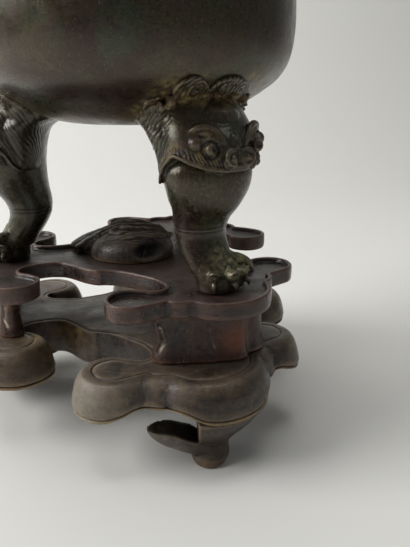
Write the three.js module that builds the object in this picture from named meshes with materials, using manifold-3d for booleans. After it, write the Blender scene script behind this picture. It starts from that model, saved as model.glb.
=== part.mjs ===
// A tripod incense burner: a squat round bronze vessel with two upright loop handles, on three
// cabriole legs that come out of lion masks and end in clawed paws. It stands loose on a carved
// hardwood stand of two cloud-shaped boards, with three waist blocks between them, a carved boss
// on the upper board and three small feet with scroll leaves.
// Millimetres, +Z up. The floor under the stand is z = 0, and the origin lies under the middle of
// the whole object's box. Radial distances count from the vessel's own axis.
import * as THREE from "three";
import { mergeVertices } from "three/addons/utils/BufferGeometryUtils.js";
import Module from "manifold-3d";

const wasm = await Module();
wasm.setup();

// Overall sizes
const BODY_R = 120.5; // the vessel's largest radius
const WALL = 5; // cast wall of the vessel
const RIM_R = 101; // outer radius of the everted rim
const FLOOR_TO_RIM = 122; // height of the stand, floor to the upper board's raised edge
const BODY_BELOW = 104; // from the stand's raised edge up to the vessel's underside
const BODY_HEIGHT = 173.5; // from the vessel's underside up to the rim
const GAP = 0.3; // clearance between neighbouring pieces

// Stand
const HEAD_ANGLES = [-60, 60, 180]; // the stand's cloud heads, one under each leg
const PLATE_T = 12.5; // upper board
const FIELD_DROP = 3.5; // how far the field lies below the raised edge
const EDGE_W = 3; // width of the raised edge
const BASE_TOP = 70; // top of the lower board above the floor
const BASE_BOTTOM = 43; // its underside above the floor
const BASE_BULGE = 12.4; // how far the lower board's side swells out
const BASE_TURN = -7.2; // the lower tier sits turned by this many degrees on its pegs
const HEAD_R = 107; // distance of each cloud head's front lobe from the axis
const LOBE_R = 34.8; // radius of the front lobe
const CURL_R = 17.3; // radius of the side curls
const FOOT_R = HEAD_R - 2.2; // distance of the top of each foot from the axis
const FOOT_BEND = 6; // how far the stem of a foot bends to one side
const FOOT_LEAN = [22.9, -13.9]; // how far the pads stand further out and to the other side
const LEFT_WAIST_OUT = 9; // the left waist block stands this much further out than the others
const BOSS_AT = [-5, 8]; // where the boss sits on the upper board
const PEG_R = 4; // wooden pegs
const PEG_DEPTH = 14; // how deep the waist pegs go into the lower board

// Legs
const LEG_ANGLES = [-60, 56, 175]; // the legs were set by eye, a few degrees off the even thirds
const LEG_NAMES = ["front", "rear", "left"];
const PIN_R = 3.2; // bronze pins that hold the legs to the vessel
const PIN_REACH = 15.5; // how far each pin goes into its leg

// Handles
const HANDLE_W = 46;
const HANDLE_H = 44;
const HANDLE_T = 9;
const HANDLE_R = RIM_R - 6.8; // distance of each handle from the axis
const TENON_R = 2.4; // the pegs under the handles' feet
const TENON_DEPTH = 7;

const ROUND = 40; // segments around the vessel
const rad = THREE.MathUtils.degToRad;
const V = (x, y, z) => new THREE.Vector3(x, y, z);
const V2 = (x, y) => new THREE.Vector2(x, y);

// Materials
const bronze = new THREE.MeshStandardMaterial({ color: 0x433f36, roughness: 0.45, metalness: 0.85 });
const plateWood = new THREE.MeshStandardMaterial({ color: 0x4a342c, roughness: 0.5, metalness: 0 });
const waistWood = new THREE.MeshStandardMaterial({ color: 0x5a3526, roughness: 0.55, metalness: 0 });
const baseWood = new THREE.MeshStandardMaterial({ color: 0x4b443c, roughness: 0.6, metalness: 0 });
const pegWood = new THREE.MeshStandardMaterial({ color: 0x8a6a45, roughness: 0.7, metalness: 0 });

// A closed three.js geometry as a solid that can be joined and cut.
function solid(geometry, matrix) {
  let g = geometry.index ? geometry.toNonIndexed() : geometry.clone();
  for (const name of Object.keys(g.attributes)) if (name !== "position") g.deleteAttribute(name);
  if (matrix) g.applyMatrix4(matrix);
  g = mergeVertices(g, 1e-3);
  return new wasm.Manifold(
    new wasm.Mesh({
      numProp: 3,
      vertProperties: g.attributes.position.array,
      triVerts: new Uint32Array(g.index.array),
    }),
  );
}

// A solid as a three.js geometry.
function geometryOf(s) {
  const m = s.getMesh();
  const n = m.numProp;
  const p = new Float32Array(m.numVert * 3);
  for (let i = 0; i < m.numVert; i++) p.set(m.vertProperties.subarray(i * n, i * n + 3), i * 3);
  const g = new THREE.BufferGeometry();
  g.setAttribute("position", new THREE.BufferAttribute(p, 3));
  g.setIndex(new THREE.BufferAttribute(m.triVerts, 1));
  g.computeVertexNormals();
  return g;
}

const join = (parts) => parts.slice(1).reduce((all, s) => all.add(s), parts[0]);
const place = (x, y, z, turn = [0, 0, 0], scale = [1, 1, 1]) =>
  new THREE.Matrix4().compose(
    V(x, y, z),
    new THREE.Quaternion().setFromEuler(new THREE.Euler(rad(turn[0]), rad(turn[1]), rad(turn[2]), "ZYX")),
    V(...scale),
  );
const ball = (x, y, z, rx, ry, rz, turn = [0, 0, 0], n = 8) =>
  solid(new THREE.SphereGeometry(1, n, Math.round(n * 0.6)), place(x, y, z, turn, [rx, ry, rz]));
// An upright cylinder between two heights.
const rod = (x, y, z0, z1, r, n = 12) =>
  solid(new THREE.CylinderGeometry(r, r, z1 - z0, n), place(x, y, (z0 + z1) / 2, [90, 0, 0]));

// A closed skin over rings of points, each ring with the same number of points, counter-clockwise
// seen from the end of the stack. The ends are closed flat, or by a strip across when the first
// half of each ring runs alongside the second half.
function skin(rings, strip = false) {
  const n = rings[0].length;
  const p = [];
  const t = [];
  rings.forEach((ring) => ring.forEach((v) => p.push(v.x, v.y, v.z)));
  for (let k = 0; k + 1 < rings.length; k++)
    for (let i = 0; i < n; i++) {
      const a = k * n + i;
      const b = k * n + ((i + 1) % n);
      t.push(a, b, b + n, a, b + n, a + n);
    }
  const across = [];
  for (let i = 0; i + 1 < n / 2; i++) {
    across.push([i, i + 1, n - 1 - i]);
    across.push([i + 1, n - 2 - i, n - 1 - i]);
  }
  for (const [k, flip] of [
    [0, true],
    [rings.length - 1, false],
  ]) {
    const cap = strip ? across : THREE.ShapeUtils.triangulateShape(rings[k].map((v) => V2(v.x, v.y)), []);
    for (const [a, b, c] of cap) t.push(k * n + a, k * n + (flip ? c : b), k * n + (flip ? b : c));
  }
  const g = new THREE.BufferGeometry();
  g.setAttribute("position", new THREE.Float32BufferAttribute(p, 3));
  g.setIndex(t);
  return solid(g);
}

// An oval ring with squared shoulders: n = 2 is an ellipse.
function oval(cx, a, b, z, n = 2, count = 16) {
  const ring = [];
  for (let i = 0; i < count; i++) {
    const w = (2 * Math.PI * i) / count;
    const c = Math.cos(w);
    const s = Math.sin(w);
    ring.push(
      V(cx + a * Math.sign(c) * Math.abs(c) ** (2 / n), b * Math.sign(s) * Math.abs(s) ** (2 / n), z),
    );
  }
  return ring;
}

// A round tube of changing radius along a smooth path, with rounded ends.
function roll(points, radii, sides = 5, steps = 6) {
  const curve = new THREE.CatmullRomCurve3(points);
  const frames = curve.computeFrenetFrames(steps);
  const p = [];
  const t = [];
  const at = (u) => {
    const k = Math.min(radii.length - 2, Math.floor(u * (radii.length - 1)));
    return THREE.MathUtils.lerp(radii[k], radii[k + 1], u * (radii.length - 1) - k);
  };
  for (let k = 0; k <= steps; k++) {
    const c = curve.getPointAt(k / steps);
    for (let i = 0; i < sides; i++) {
      const w = (2 * Math.PI * i) / sides;
      const q = c
        .clone()
        .addScaledVector(frames.normals[k], at(k / steps) * Math.cos(w))
        .addScaledVector(frames.binormals[k], at(k / steps) * Math.sin(w));
      p.push(q.x, q.y, q.z);
    }
  }
  const first = curve.getPointAt(0).addScaledVector(frames.tangents[0], -at(0) * 0.5);
  const last = curve.getPointAt(1).addScaledVector(frames.tangents[steps], at(1) * 0.5);
  p.push(first.x, first.y, first.z, last.x, last.y, last.z);
  const a0 = (steps + 1) * sides;
  for (let k = 0; k < steps; k++)
    for (let i = 0; i < sides; i++) {
      const a = k * sides + i;
      const b = k * sides + ((i + 1) % sides);
      t.push(a, b, b + sides, a, b + sides, a + sides);
    }
  for (let i = 0; i < sides; i++) {
    const j = (i + 1) % sides;
    t.push(a0, j, i, a0 + 1, steps * sides + i, steps * sides + j);
  }
  const g = new THREE.BufferGeometry();
  g.setAttribute("position", new THREE.Float32BufferAttribute(p, 3));
  g.setIndex(t);
  return solid(g);
}

// Outline of the boards. Each third is a cloud head: a front lobe, a shallow lobe on each side of
// it and a round curl, then a recess whose back wall carries a pointed cusp. The two sides of a
// recess differ a little, as carved.
const polar = (deg, u, v) =>
  new THREE.Vector2(
    u * Math.cos(rad(deg)) - v * Math.sin(rad(deg)),
    u * Math.sin(rad(deg)) + v * Math.cos(rad(deg)),
  );
const lobe = (cu, cv, r, from, to, n) => {
  const list = [];
  for (let i = 0; i <= n; i++) {
    const w = rad(from + ((to - from) * i) / n);
    list.push([cu + r * Math.cos(w), cv + r * Math.sin(w)]);
  }
  return list;
};
function outline() {
  const points = [];
  for (const head of HEAD_ANGLES) {
    const before = [
      [54.5, 0], [52.2, 9.5], [52.9, 21], [54.2, 30], [56, 39.5], [59.8, 48], [64.5, 54.5],
      [69.5, 57.9], [75, 57.8], [79.2, 54], [80.9, 47],
    ];
    const side = [
      ...lobe(HEAD_R - 17.3, -62, CURL_R, 142, 345, 8),
      [HEAD_R + 0.4, -52],
      [HEAD_R + 1.2, -45.4],
      [HEAD_R + 6, -43.5],
      [HEAD_R + 10.3, -37],
      [HEAD_R + 12.3, -31.2],
    ];
    const after = [
      [82, -47], [82, -54.5], [77, -59.4], [70.3, -59.6], [64, -57], [58.6, -53], [53.4, -48],
      [50.6, -41], [51, -34], [52.9, -26.7], [55.5, -19], [57.1, -11.5], [57, -5],
    ];
    before.forEach(([u, v]) => points.push(polar(head - 60, u, v)));
    side.forEach(([u, v]) => points.push(polar(head, u, v)));
    lobe(HEAD_R, 0, LOBE_R, -62, 62, 10).forEach(([u, v]) => points.push(polar(head, u, v)));
    side.reverse().forEach(([u, v]) => points.push(polar(head, u, -v)));
    after.forEach(([u, v]) => points.push(polar(head + 60, u, v)));
  }
  return points;
}

// Shortest distance from a point to a closed outline.
function distanceTo(poly, q) {
  let best = Infinity;
  for (let i = 0; i < poly.length; i++) {
    const a = poly[i];
    const d = poly[(i + 1) % poly.length].clone().sub(a);
    const s = THREE.MathUtils.clamp(q.clone().sub(a).dot(d) / d.lengthSq(), 0, 1);
    best = Math.min(best, q.distanceTo(a.clone().addScaledVector(d, s)));
  }
  return best;
}

// The outline moved outwards by a distance of its own at each point (inwards when negative). Where
// the moved line would fold over itself at a cusp, it is bridged.
function moved(poly, by) {
  const n = poly.length;
  const out = poly.map((p, i) => {
    const a = poly[(i + n - 1) % n];
    const b = poly[(i + 1) % n];
    const t1 = p.clone().sub(a).normalize();
    const t2 = b.clone().sub(p).normalize();
    const d = by(i);
    const normal = new THREE.Vector2(t1.y + t2.y, -t1.x - t2.x).normalize();
    return p.clone().addScaledVector(normal, d / Math.max(0.8, normal.dot(V2(t2.y, -t2.x))));
  });
  const good = out.map((q, i) => distanceTo(poly, q) > Math.abs(by(i)) * 0.9 - 1e-6);
  return out.map((q, i) => {
    if (good[i]) return q;
    let a = 1;
    let b = 1;
    while (!good[(i - a + n) % n]) a++;
    while (!good[(i + b) % n]) b++;
    return out[(i - a + n) % n].clone().lerp(out[(i + b) % n], a / (a + b));
  });
}
const ringAt = (poly, z) => poly.map((p) => V(p.x, p.y, z));
const turned = (poly, deg) => poly.map((p) => p.clone().rotateAround(V2(0, 0), rad(deg)));
const board = (poly, z0, z1) =>
  solid(
    new THREE.ExtrudeGeometry(new THREE.Shape(poly), { depth: z1 - z0, bevelEnabled: false, steps: 1 }),
    place(0, 0, z0),
  );

const root = new THREE.Group();
const censer = new THREE.Group(); // lifts straight off the stand
const stand = new THREE.Group();
root.add(censer, stand);
function add(group, name, s, material) {
  const m = new THREE.Mesh(geometryOf(s), material);
  m.name = name;
  group.add(m);
}
const about = (s, deg) => s.rotate([0, 0, deg]);

// Vessel: a lathe profile of [radius, height] from the underside's middle up the outside, over the
// rim and down the inside. Heights count from the underside.
const body0 = FLOOR_TO_RIM + BODY_BELOW;
const kr = BODY_R / 120.5;
const kz = BODY_HEIGHT / 173.5;
const outer = [
  [30, 0.3], [55, 1.9], [72, 7], [88.5, 17], [98, 23], [108.5, 31.3], [115.7, 42], [119.4, 56],
  [120.5, 74], [119, 93], [113.5, 111.5], [102, 126.5], [89, 136], [84.6, 144], [84.6, 153],
  [88.5, 161.5], [96, 167],
];
const inner = [
  [115.5, 74], [113.8, 53], [107.5, 38.5], [95.2, 27.6], [84, 20.5], [69.8, 11.9], [54, 6.9], [32, 5],
];
function profile(grow) {
  const pts = [new THREE.Vector2(0, -grow)];
  outer.forEach(([r, z], i) => {
    const a = i ? outer[i - 1] : [0, 0];
    const b = outer[i + 1] || [RIM_R, 172];
    const n = new THREE.Vector2(b[1] - a[1], a[0] - b[0]).normalize();
    pts.push(V2(r * kr + n.x * grow, z * kz + n.y * grow));
  });
  return pts;
}
const shell = profile(0);
shell.push(V2(RIM_R, 170 * kz), V2(RIM_R, BODY_HEIGHT), V2(RIM_R - 13.5, BODY_HEIGHT));
const throat = [[80.6, 159], [79.2, 149], [81.4, 137], [92, 127.5], [106, 114.5], [114, 96]];
// The inside follows the wall's thickness: sideways on the sides, upwards near the floor.
for (const [r, z] of [...throat, ...inner]) {
  const side = Math.min(1, z / 40);
  shell.push(V2(r * kr - (WALL - 5) * side, z * kz + (WALL - 5) * (1 - side)));
}
shell.push(V2(0, WALL));
const lathe = (pts) => solid(new THREE.LatheGeometry(pts, ROUND), place(0, 0, body0, [90, 0, 0]));
let bowl = lathe(shell);
const clear = profile(GAP);
clear.push(V2(0, clear[clear.length - 1].y));
const bodyClear = lathe(clear);

// Pins: each goes through the wall from inside the vessel into the leg's top.
const PIN_AT = [79.5 * kr, body0 + 11.4 * kz]; // where the pin's axis crosses the outside of the wall
// Its direction, out and down, square to the wall between two points of the profile.
const PIN_TILT = 90 + THREE.MathUtils.radToDeg(Math.atan2((88.5 - 72) * kr, (17 - 7) * kz));
const pinAxis = V(Math.sin(rad(PIN_TILT)), 0, Math.cos(rad(PIN_TILT)));
const pinPoint = (d) => V(PIN_AT[0], 0, PIN_AT[1]).addScaledVector(pinAxis, d);
function pinPiece(d0, d1, r0, r1, n = 12) {
  const c = pinPoint((d0 + d1) / 2);
  const upright = new THREE.Matrix4().makeRotationZ(rad(-90));
  return solid(
    new THREE.CylinderGeometry(r1, r0, d1 - d0, n),
    place(c.x, 0, c.z, [0, PIN_TILT - 90, 0]).multiply(upright),
  );
}
const pinHole = pinPiece(-16, PIN_REACH + 0.5, PIN_R + GAP, PIN_R + GAP);
const pinHead = pinPiece(-WALL - 3.7, -WALL - 1.2, 4.6, 6.6);
const pin = pinPiece(-WALL - 2, PIN_REACH, PIN_R, PIN_R).add(pinHead);

// Legs, built facing +X. Sections are ovals: [height over the raised edge, centre, half depth,
// half width]. Heights follow the vessel's underside.
const z0 = FLOOR_TO_RIM;
const kl = BODY_BELOW / 104;
const high = (z) => z0 + z * kl;
const stack = (rows, n) => skin(rows.map(([z, u, a, b]) => oval(u, a, b, high(z), n)));
const calf = stack([
  [10, 96, 13.8, 16.6], [14, 94.1, 14.2, 17.2], [19, 91, 14.8, 18], [24, 88, 15.4, 18.6],
  [29, 85, 15.2, 18.9], [34, 82.8, 15, 19.1], [39, 82.4, 15.8, 19.7], [44, 83.8, 17.2, 20.8],
  [49, 86.6, 19.4, 22.7], [54, 89.4, 21.7, 25], [59, 90.7, 23.2, 27.8], [64, 91.4, 24.2, 30.4],
  [72, 93.2, 23.5, 33.2], [80, 93, 23.4, 34.2],
], 2);
const mask = stack([
  [79, 92.8, 22.8, 33.6], [84, 94.1, 25.3, 34], [88, 94.2, 26.8, 34], [95, 92.5, 26.5, 34.3],
  [101, 90.5, 26.5, 34],
  [108, 88.5, 24.5, 33], [114, 85.5, 22.5, 31.5], [120, 84, 20, 29], [127, 82, 18, 27],
], 2.2);
// The thigh spreads out into the vessel's underside.
const thigh = stack([
  [74, 83.2, 13, 31], [79, 83.3, 13.8, 32.5], [85, 83.4, 14.8, 33.2], [91, 83.2, 16, 34.6],
  [97, 82.6, 17.6, 36.8], [102, 81, 20, 38.3], [106, 77.4, 24.4, 38], [110, 72, 31.5, 38.2],
  [114, 70, 34, 38.6], [121, 70, 31, 37.5], [127, 70, 26, 36],
], 2);
const face = [mask];
for (const s of [-1, 1]) {
  const path = (rows) => rows.map(([u, v, z]) => V(u, v * s, high(z)));
  face.push(ball(113, 18.8 * s, high(97.4), 6, 6.6, 5.6)); // eye
  const brow = path([[105, 27, 103], [108.5, 21.5, 108], [112, 13, 108.5], [116, 6.5, 103]]);
  face.push(roll(brow, [2.6, 4, 4.2, 3]));
  face.push(ball(121.2, 8.6 * s, high(90.4), 7.3, 7.4, 6.6)); // nostril
  const collar = path([
    [118.8, 4, 81.4], [116, 17, 83.2], [105, 31, 89.4], [97, 34, 88.6], [89, 33, 80], [79, 28.8, 71],
  ]);
  face.push(roll(collar, [2.4, 2.6, 3, 3.2, 3, 2], 5, 9));
  const curl = path([
    [100, 2, 126], [105, 5, 132], [107.5, 12, 137.5], [105, 20, 137], [101, 25, 131], [101, 22, 126],
    [103, 16, 126.5], [104.5, 14, 130],
  ]);
  face.push(roll(curl, [4, 5, 5, 4.6, 4.4, 3.6, 3, 2.4], 5, 10)); // mane
  const locks = path([[100, 26, 126], [93, 31, 121.5], [86, 33, 117.5], [77, 33, 112]]);
  face.push(roll(locks, [5, 5, 4.6, 3.6]));
}
face.push(ball(112, 0, high(89.6), 12.6, 13, 8.4)); // snout
face.push(ball(112, 0, high(97.2), 5.8, 5, 4.4)); // bridge of the nose
const PAW_BOTTOM = z0 - FIELD_DROP + GAP;
const pawRing = (u, a, b, z, n) => oval(u, a, b, z, n).map((q) => V(q.x, q.y + 0.5, q.z));
const paw = [
  skin([
    pawRing(104.5, 13.5, 14.5, PAW_BOTTOM, 2.3), pawRing(104.5, 14.8, 16.2, z0, 2.3),
    pawRing(103.5, 14.8, 17, z0 + 8, 2.2), pawRing(101, 14.5, 17, z0 + 14, 2),
    pawRing(96, 14, 16.8, z0 + 20, 2),
  ]),
];
for (const [u, v, turn] of [[105, -9, -50], [115, 1.8, -4], [110.6, 13.6, 34], [104, 18.6, 74]]) {
  paw.push(ball(u, v, z0 + 4.6, 7, 5.4, 7.4, [0, 0, turn], 8)); // toe
}
const sideOf = (u0, u1, v) => [V2(u0, -v), V2(u1, -v), V2(u1, v), V2(u0, v)];
const floorCut = board(sideOf(40, 160, 60), z0 - 20, PAW_BOTTOM);
const leg = join([calf, thigh, ...face, ...paw]).subtract(bodyClear).subtract(floorCut).subtract(pinHole);
LEG_ANGLES.forEach((w, i) => {
  bowl = bowl.subtract(about(pinHole, w));
  add(censer, "leg_" + LEG_NAMES[i], about(leg, w), bronze);
  add(censer, "leg_pin_" + LEG_NAMES[i], about(pin, w), bronze);
});

// Handles: upright loops whose two tenons go down through the rim.
const rimTop = body0 + BODY_HEIGHT;
const tenonAt = HANDLE_W / 2 - HANDLE_T / 2;
const archAt = HANDLE_H - HANDLE_W / 2; // where the straight sides of a loop end
const hoop = new THREE.Shape();
hoop.moveTo(-HANDLE_W / 2, 0);
hoop.lineTo(-HANDLE_W / 2 + HANDLE_T, 0);
hoop.lineTo(-HANDLE_W / 2 + HANDLE_T, archAt);
hoop.absarc(0, archAt, HANDLE_W / 2 - HANDLE_T, Math.PI, 0, true);
hoop.lineTo(HANDLE_W / 2 - HANDLE_T, 0);
hoop.lineTo(HANDLE_W / 2, 0);
hoop.lineTo(HANDLE_W / 2, archAt);
hoop.absarc(0, archAt, HANDLE_W / 2, 0, Math.PI, false);
const EDGE = 1; // the loops' bevelled edges
const bevel = {
  bevelEnabled: true, bevelThickness: EDGE, bevelSize: EDGE, bevelOffset: -EDGE, bevelSegments: 1,
};
const loop = solid(
  new THREE.ExtrudeGeometry(hoop, { depth: HANDLE_T - 2 * EDGE, curveSegments: 8, ...bevel }),
  place(HANDLE_R - HANDLE_T / 2 + EDGE, 0, rimTop + GAP, [90, 0, 90]),
);
const tenons = [-1, 1].map((s) => rod(HANDLE_R, s * tenonAt, rimTop - TENON_DEPTH, rimTop + 3, TENON_R));
const tenonHoles = [-1, 1].map((s) => rod(HANDLE_R, s * tenonAt, rimTop - 12, rimTop + 4, TENON_R + GAP));
const handle = join([loop, ...tenons]);
[-90, 90].forEach((w, i) => {
  bowl = bowl.subtract(about(join(tenonHoles), w));
  add(censer, i ? "handle_rear" : "handle_front", about(handle, w), bronze);
});
add(censer, "censer_bowl", bowl, bronze);

// Upper board with its raised edge.
const plan = outline();
const even = (d) => () => d;
const plateBottom = z0 - PLATE_T;
const field = z0 - FIELD_DROP;
let plate = board(plan, plateBottom, z0).subtract(board(moved(plan, even(-EDGE_W)), field, z0 + 5));

// Boss: a domed carving with a folded leaf over it, held by one peg. A low flank runs down from
// it towards the left leg.
const level = (h) => field + GAP + h;
const dome = skin(
  [[34, 0], [34.3, 4], [33.4, 9], [31, 14], [27, 18.5], [20, 22], [9, 24.2]].map(([r, h]) =>
    oval(0, r, r, level(h), 2, 24),
  ),
);
const bossParts = [dome, ball(27, -10, level(11), 9, 11, 6, [0, 12, 0], 10)];
for (const [v, h, bow] of [[-15, 20, 4], [-5, 23, 2], [6, 23.2, -2], [16, 20.5, -5]]) {
  const fold = [V(-20, v + bow, level(h - 6)), V(-2, v, level(h)), V(22, v - bow, level(h - 5))];
  bossParts.push(roll(fold, [2, 3.4, 2.4], 6, 6));
}
bossParts.push(roll([V(-18, 3, level(12)), V(-34, 6, level(6)), V(-47, 10, level(3))], [12, 9, 4], 8, 6));
const bossPeg = rod(0, 0, plateBottom + 3, field + 12, PEG_R);
const bossHole = rod(0, 0, plateBottom + 3 - GAP, field + 12 + GAP, PEG_R + GAP);
const atBoss = (s) => s.translate([BOSS_AT[0], BOSS_AT[1], 0]);
const boss = join(bossParts).subtract(board(sideOf(-90, 90, 90), 0, level(0))).subtract(bossHole);

// Waist blocks between the boards, one under each head, each on two pegs. They are bent walls with
// a notch in the front. The left one is the mirror image, and stands further out.
const waistPlan = [
  [84, -36], [85.6, -41], [90, -43.5], [96, -41], [101.5, -33], [110, -18.5], [117, -6], [121.5, 3], [122, 9],
  [118.5, 13.5], [117.5, 18], [118, 24], [115.5, 31], [109, 36.5], [101, 38], [97, 33], [95, 22], [94, 10],
  [93, 0], [90, -12], [86.5, -24],
].map(([u, v]) => V2(u + HEAD_R - 107, v));
const waistEdge = (d) => moved(waistPlan, even(d));
const waistRight = skin([
  ringAt(waistEdge(2.6), BASE_TOP + GAP), ringAt(waistEdge(1.4), BASE_TOP + 5),
  ringAt(waistPlan, BASE_TOP + 12), ringAt(waistPlan, plateBottom - GAP),
]);
const pegTop = plateBottom + 5;
const pegSpots = [[HEAD_R - 10, -24], [HEAD_R - 0.5, 22]];
const pegsRight = pegSpots.map(([u, v]) => rod(u, v, BASE_TOP - PEG_DEPTH, pegTop, PEG_R));
const holesRight = pegSpots.map(([u, v]) => rod(u, v, BASE_TOP - PEG_DEPTH - GAP, pegTop + GAP, PEG_R + GAP));
// A piece of the waist as it stands under one of the heads.
const underHead = (s, i) =>
  about(LEG_NAMES[i] === "left" ? s.mirror([0, 1, 0]).translate([LEFT_WAIST_OUT, 0, 0]) : s, HEAD_ANGLES[i]);

// Lower tier: the same outline, with sides that swell out to a bead near the lower edge. The swell
// dies away in the recesses.
const low = turned(plan, BASE_TURN);
const perHead = low.length / 3;
const SWELL_FROM = 11; // points of the outline in which the swell stays away at each end of a head
const SWELL_TO = perHead - 13;
const SWELL_FADE = 7; // points over which it grows
const swell = (i) => {
  const k = i % perHead;
  if (k < SWELL_FROM || k > SWELL_TO) return 0.12;
  return THREE.MathUtils.clamp(Math.min(k - SWELL_FROM, SWELL_TO - k) / SWELL_FADE, 0.12, 1);
};
const lowRing = (share, z) => ringAt(share ? moved(low, (i) => share * BASE_BULGE * swell(i)) : low, z);
let base = skin([
  lowRing(0.5, BASE_BOTTOM), lowRing(0.88, BASE_BOTTOM + 2), lowRing(1, BASE_BOTTOM + 5.5),
  lowRing(0.88, BASE_TOP - 13), lowRing(0.66, BASE_TOP - 5), lowRing(0.34, BASE_TOP - 1),
  lowRing(0, BASE_TOP),
]);

// Feet: a bulb that narrows to a pad, with a hollow scroll leaf curling up on each side of it. The
// whole foot leans outwards, so that the pads stand under the far ends of the cloud heads.
const footTop = BASE_BOTTOM - GAP;
const kf = footTop / 42.7; // heights below are given for a foot of 42.7
// The bulb is carved away on one side, back to a nearly flat face through this place.
const HOLLOW_AT = V2(HEAD_R + 2, -5.8);
const HOLLOW_FACING = V2(-0.491, -0.871);
const HOLLOW_LEFT = 0.06; // share of the bulb that is left beyond that face
const carvedAway = (q) => {
  const cut = V2(q.x, q.y).sub(HOLLOW_AT).dot(HOLLOW_FACING);
  const back = Math.max(0, cut) * (1 - HOLLOW_LEFT) * THREE.MathUtils.clamp((q.z / kf - 9) / 7, 0, 1);
  return V(q.x - HOLLOW_FACING.x * back, q.y - HOLLOW_FACING.y * back, q.z);
};
// Sections of the bulb: [height, distance from the axis, share of the bend, radius].
const bulbRing = ([z, du, share, r]) =>
  oval(FOOT_R + du, r, r, z * kf, 2, 18).map((q) => carvedAway(V(q.x, q.y + share * FOOT_BEND, q.z)));
const bulb = skin(
  [
    [0, 0, 1, 7.2], [1.4, 0, 1, 10.8], [3.5, 0, 1, 12.2], [6.2, 0, 1, 13.7], [11.8, 0, 1, 13.2],
    [14.6, 0, 1, 13.7], [18, 0.4, 0.78, 17.3], [22.2, 1, 0.53, 21.7], [26.4, 1.6, 0.3, 26.8],
    [30.5, 2, 0.13, 32.2], [34.7, 2.2, 0.03, 36.7], [38.8, 2.2, 0, 40.6], [42.7, 2.2, 0, 44.3],
  ].map(bulbRing),
);
// The leaf is an open scoop. At each step along it: [sideways, height] of the keel, of the front
// edge and of the back edge, and the share of the full width.
const LEAF_FRONT = HEAD_R + 10;
const LEAF_BACK = HEAD_R - 11;
const LEAF_WALL = 3;
const leafSteps = [
  [[-2, 6], [0, 14], [0, 17.5], 1],
  [[-9, 9], [-6, 18], [-6, 21.5], 1],
  [[-18.5, 13], [-13, 20], [-14, 24.4], 1],
  [[-28.5, 17.8], [-21, 23.4], [-20.5, 27], 1],
  [[-35, 21], [-28.5, 27.2], [-27, 28.8], 1],
  [[-40.3, 24.6], [-35.5, 29.6], [-34, 29.6], 0.93],
  [[-43.4, 27.8], [-40.8, 30.4], [-39.6, 29.8], 0.76],
  [[-44.8, 30], [-43.6, 31], [-43, 30.4], 0.44],
];
const leafRing = ([keel, front, back, share]) => {
  const thin = Math.min(1, 1.2 * share);
  const mid = (LEAF_FRONT + LEAF_BACK) / 2;
  const half = ((LEAF_FRONT - LEAF_BACK) / 2) * share;
  const bend = (inset) => {
    const f = V(mid + half - inset, front[0], front[1] * kf);
    const b = V(mid - half + inset, back[0], back[1] * kf);
    const top = f.clone().add(b).multiplyScalar(0.5);
    const c = V(mid, keel[0], keel[1] * kf);
    c.addScaledVector(top.clone().sub(c).normalize(), inset);
    const pull = c.clone().multiplyScalar(2).sub(top);
    return new THREE.QuadraticBezierCurve3(f, pull, b).getPoints(5);
  };
  return [...bend(0), ...bend(LEAF_WALL * thin).reverse()];
};
const leafRings = leafSteps.map(leafRing);
const leaf = skin(leafRings.map((ring) => ring.slice().reverse()), true);
const footParts = [bulb, leaf, leaf.mirror([0, 1, 0]).translate([0, 0.6 * FOOT_BEND, 0])];
const [leanOut, leanAside] = FOOT_LEAN;
const lean = [
  1, 0, 0, 0,
  0, 1, 0, 0,
  -leanOut / footTop, -leanAside / footTop, 1, 0,
  leanOut, leanAside, 0, 1,
];
const FOOT_PEG_UP = ((BASE_TOP - BASE_BOTTOM) * 2) / 3; // how far the foot's peg goes into the lower board
const FOOT_PEG_DOWN = 16; // and how far into the foot
const footPegAt = (r, more) =>
  rod(FOOT_R, 0, footTop - FOOT_PEG_DOWN - more, BASE_BOTTOM + FOOT_PEG_UP + more, r);
const footPeg = footPegAt(PEG_R, 0);
const footPegHole = footPegAt(PEG_R + GAP, GAP);
const foot = join(footParts).transform(lean).subtract(footPegHole);

HEAD_ANGLES.forEach((w, i) => {
  const name = LEG_NAMES[i];
  const holes = underHead(join(holesRight), i);
  plate = plate.subtract(holes);
  base = base.subtract(holes);
  base = base.subtract(about(footPegHole, w + BASE_TURN));
  add(stand, "stand_waist_" + name, underHead(waistRight.subtract(join(holesRight)), i), waistWood);
  pegsRight.forEach((p, k) => add(stand, "waist_peg_" + name + (k ? "_b" : "_a"), underHead(p, i), pegWood));
  add(stand, "stand_foot_" + name, about(foot, w + BASE_TURN), baseWood);
  add(stand, "foot_peg_" + name, about(footPeg, w + BASE_TURN), pegWood);
});
plate = plate.subtract(atBoss(bossHole));
add(stand, "stand_plate", plate, plateWood);
add(stand, "stand_boss", atBoss(boss), baseWood);
add(stand, "boss_peg", atBoss(bossPeg), pegWood);
add(stand, "stand_base", base, baseWood);

// The origin lies on the floor under the middle of the whole object's box.
const box = new THREE.Box3().setFromObject(root);
root.position.set(-(box.min.x + box.max.x) / 2, -(box.min.y + box.max.y) / 2, -box.min.z);

export default root;
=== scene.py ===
"""A bronze tripod incense burner with lion-mask legs, standing loose on a carved hardwood stand."""
import math

import bmesh
import bpy
import numpy as np
from mathutils import Matrix, Vector, noise


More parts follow.
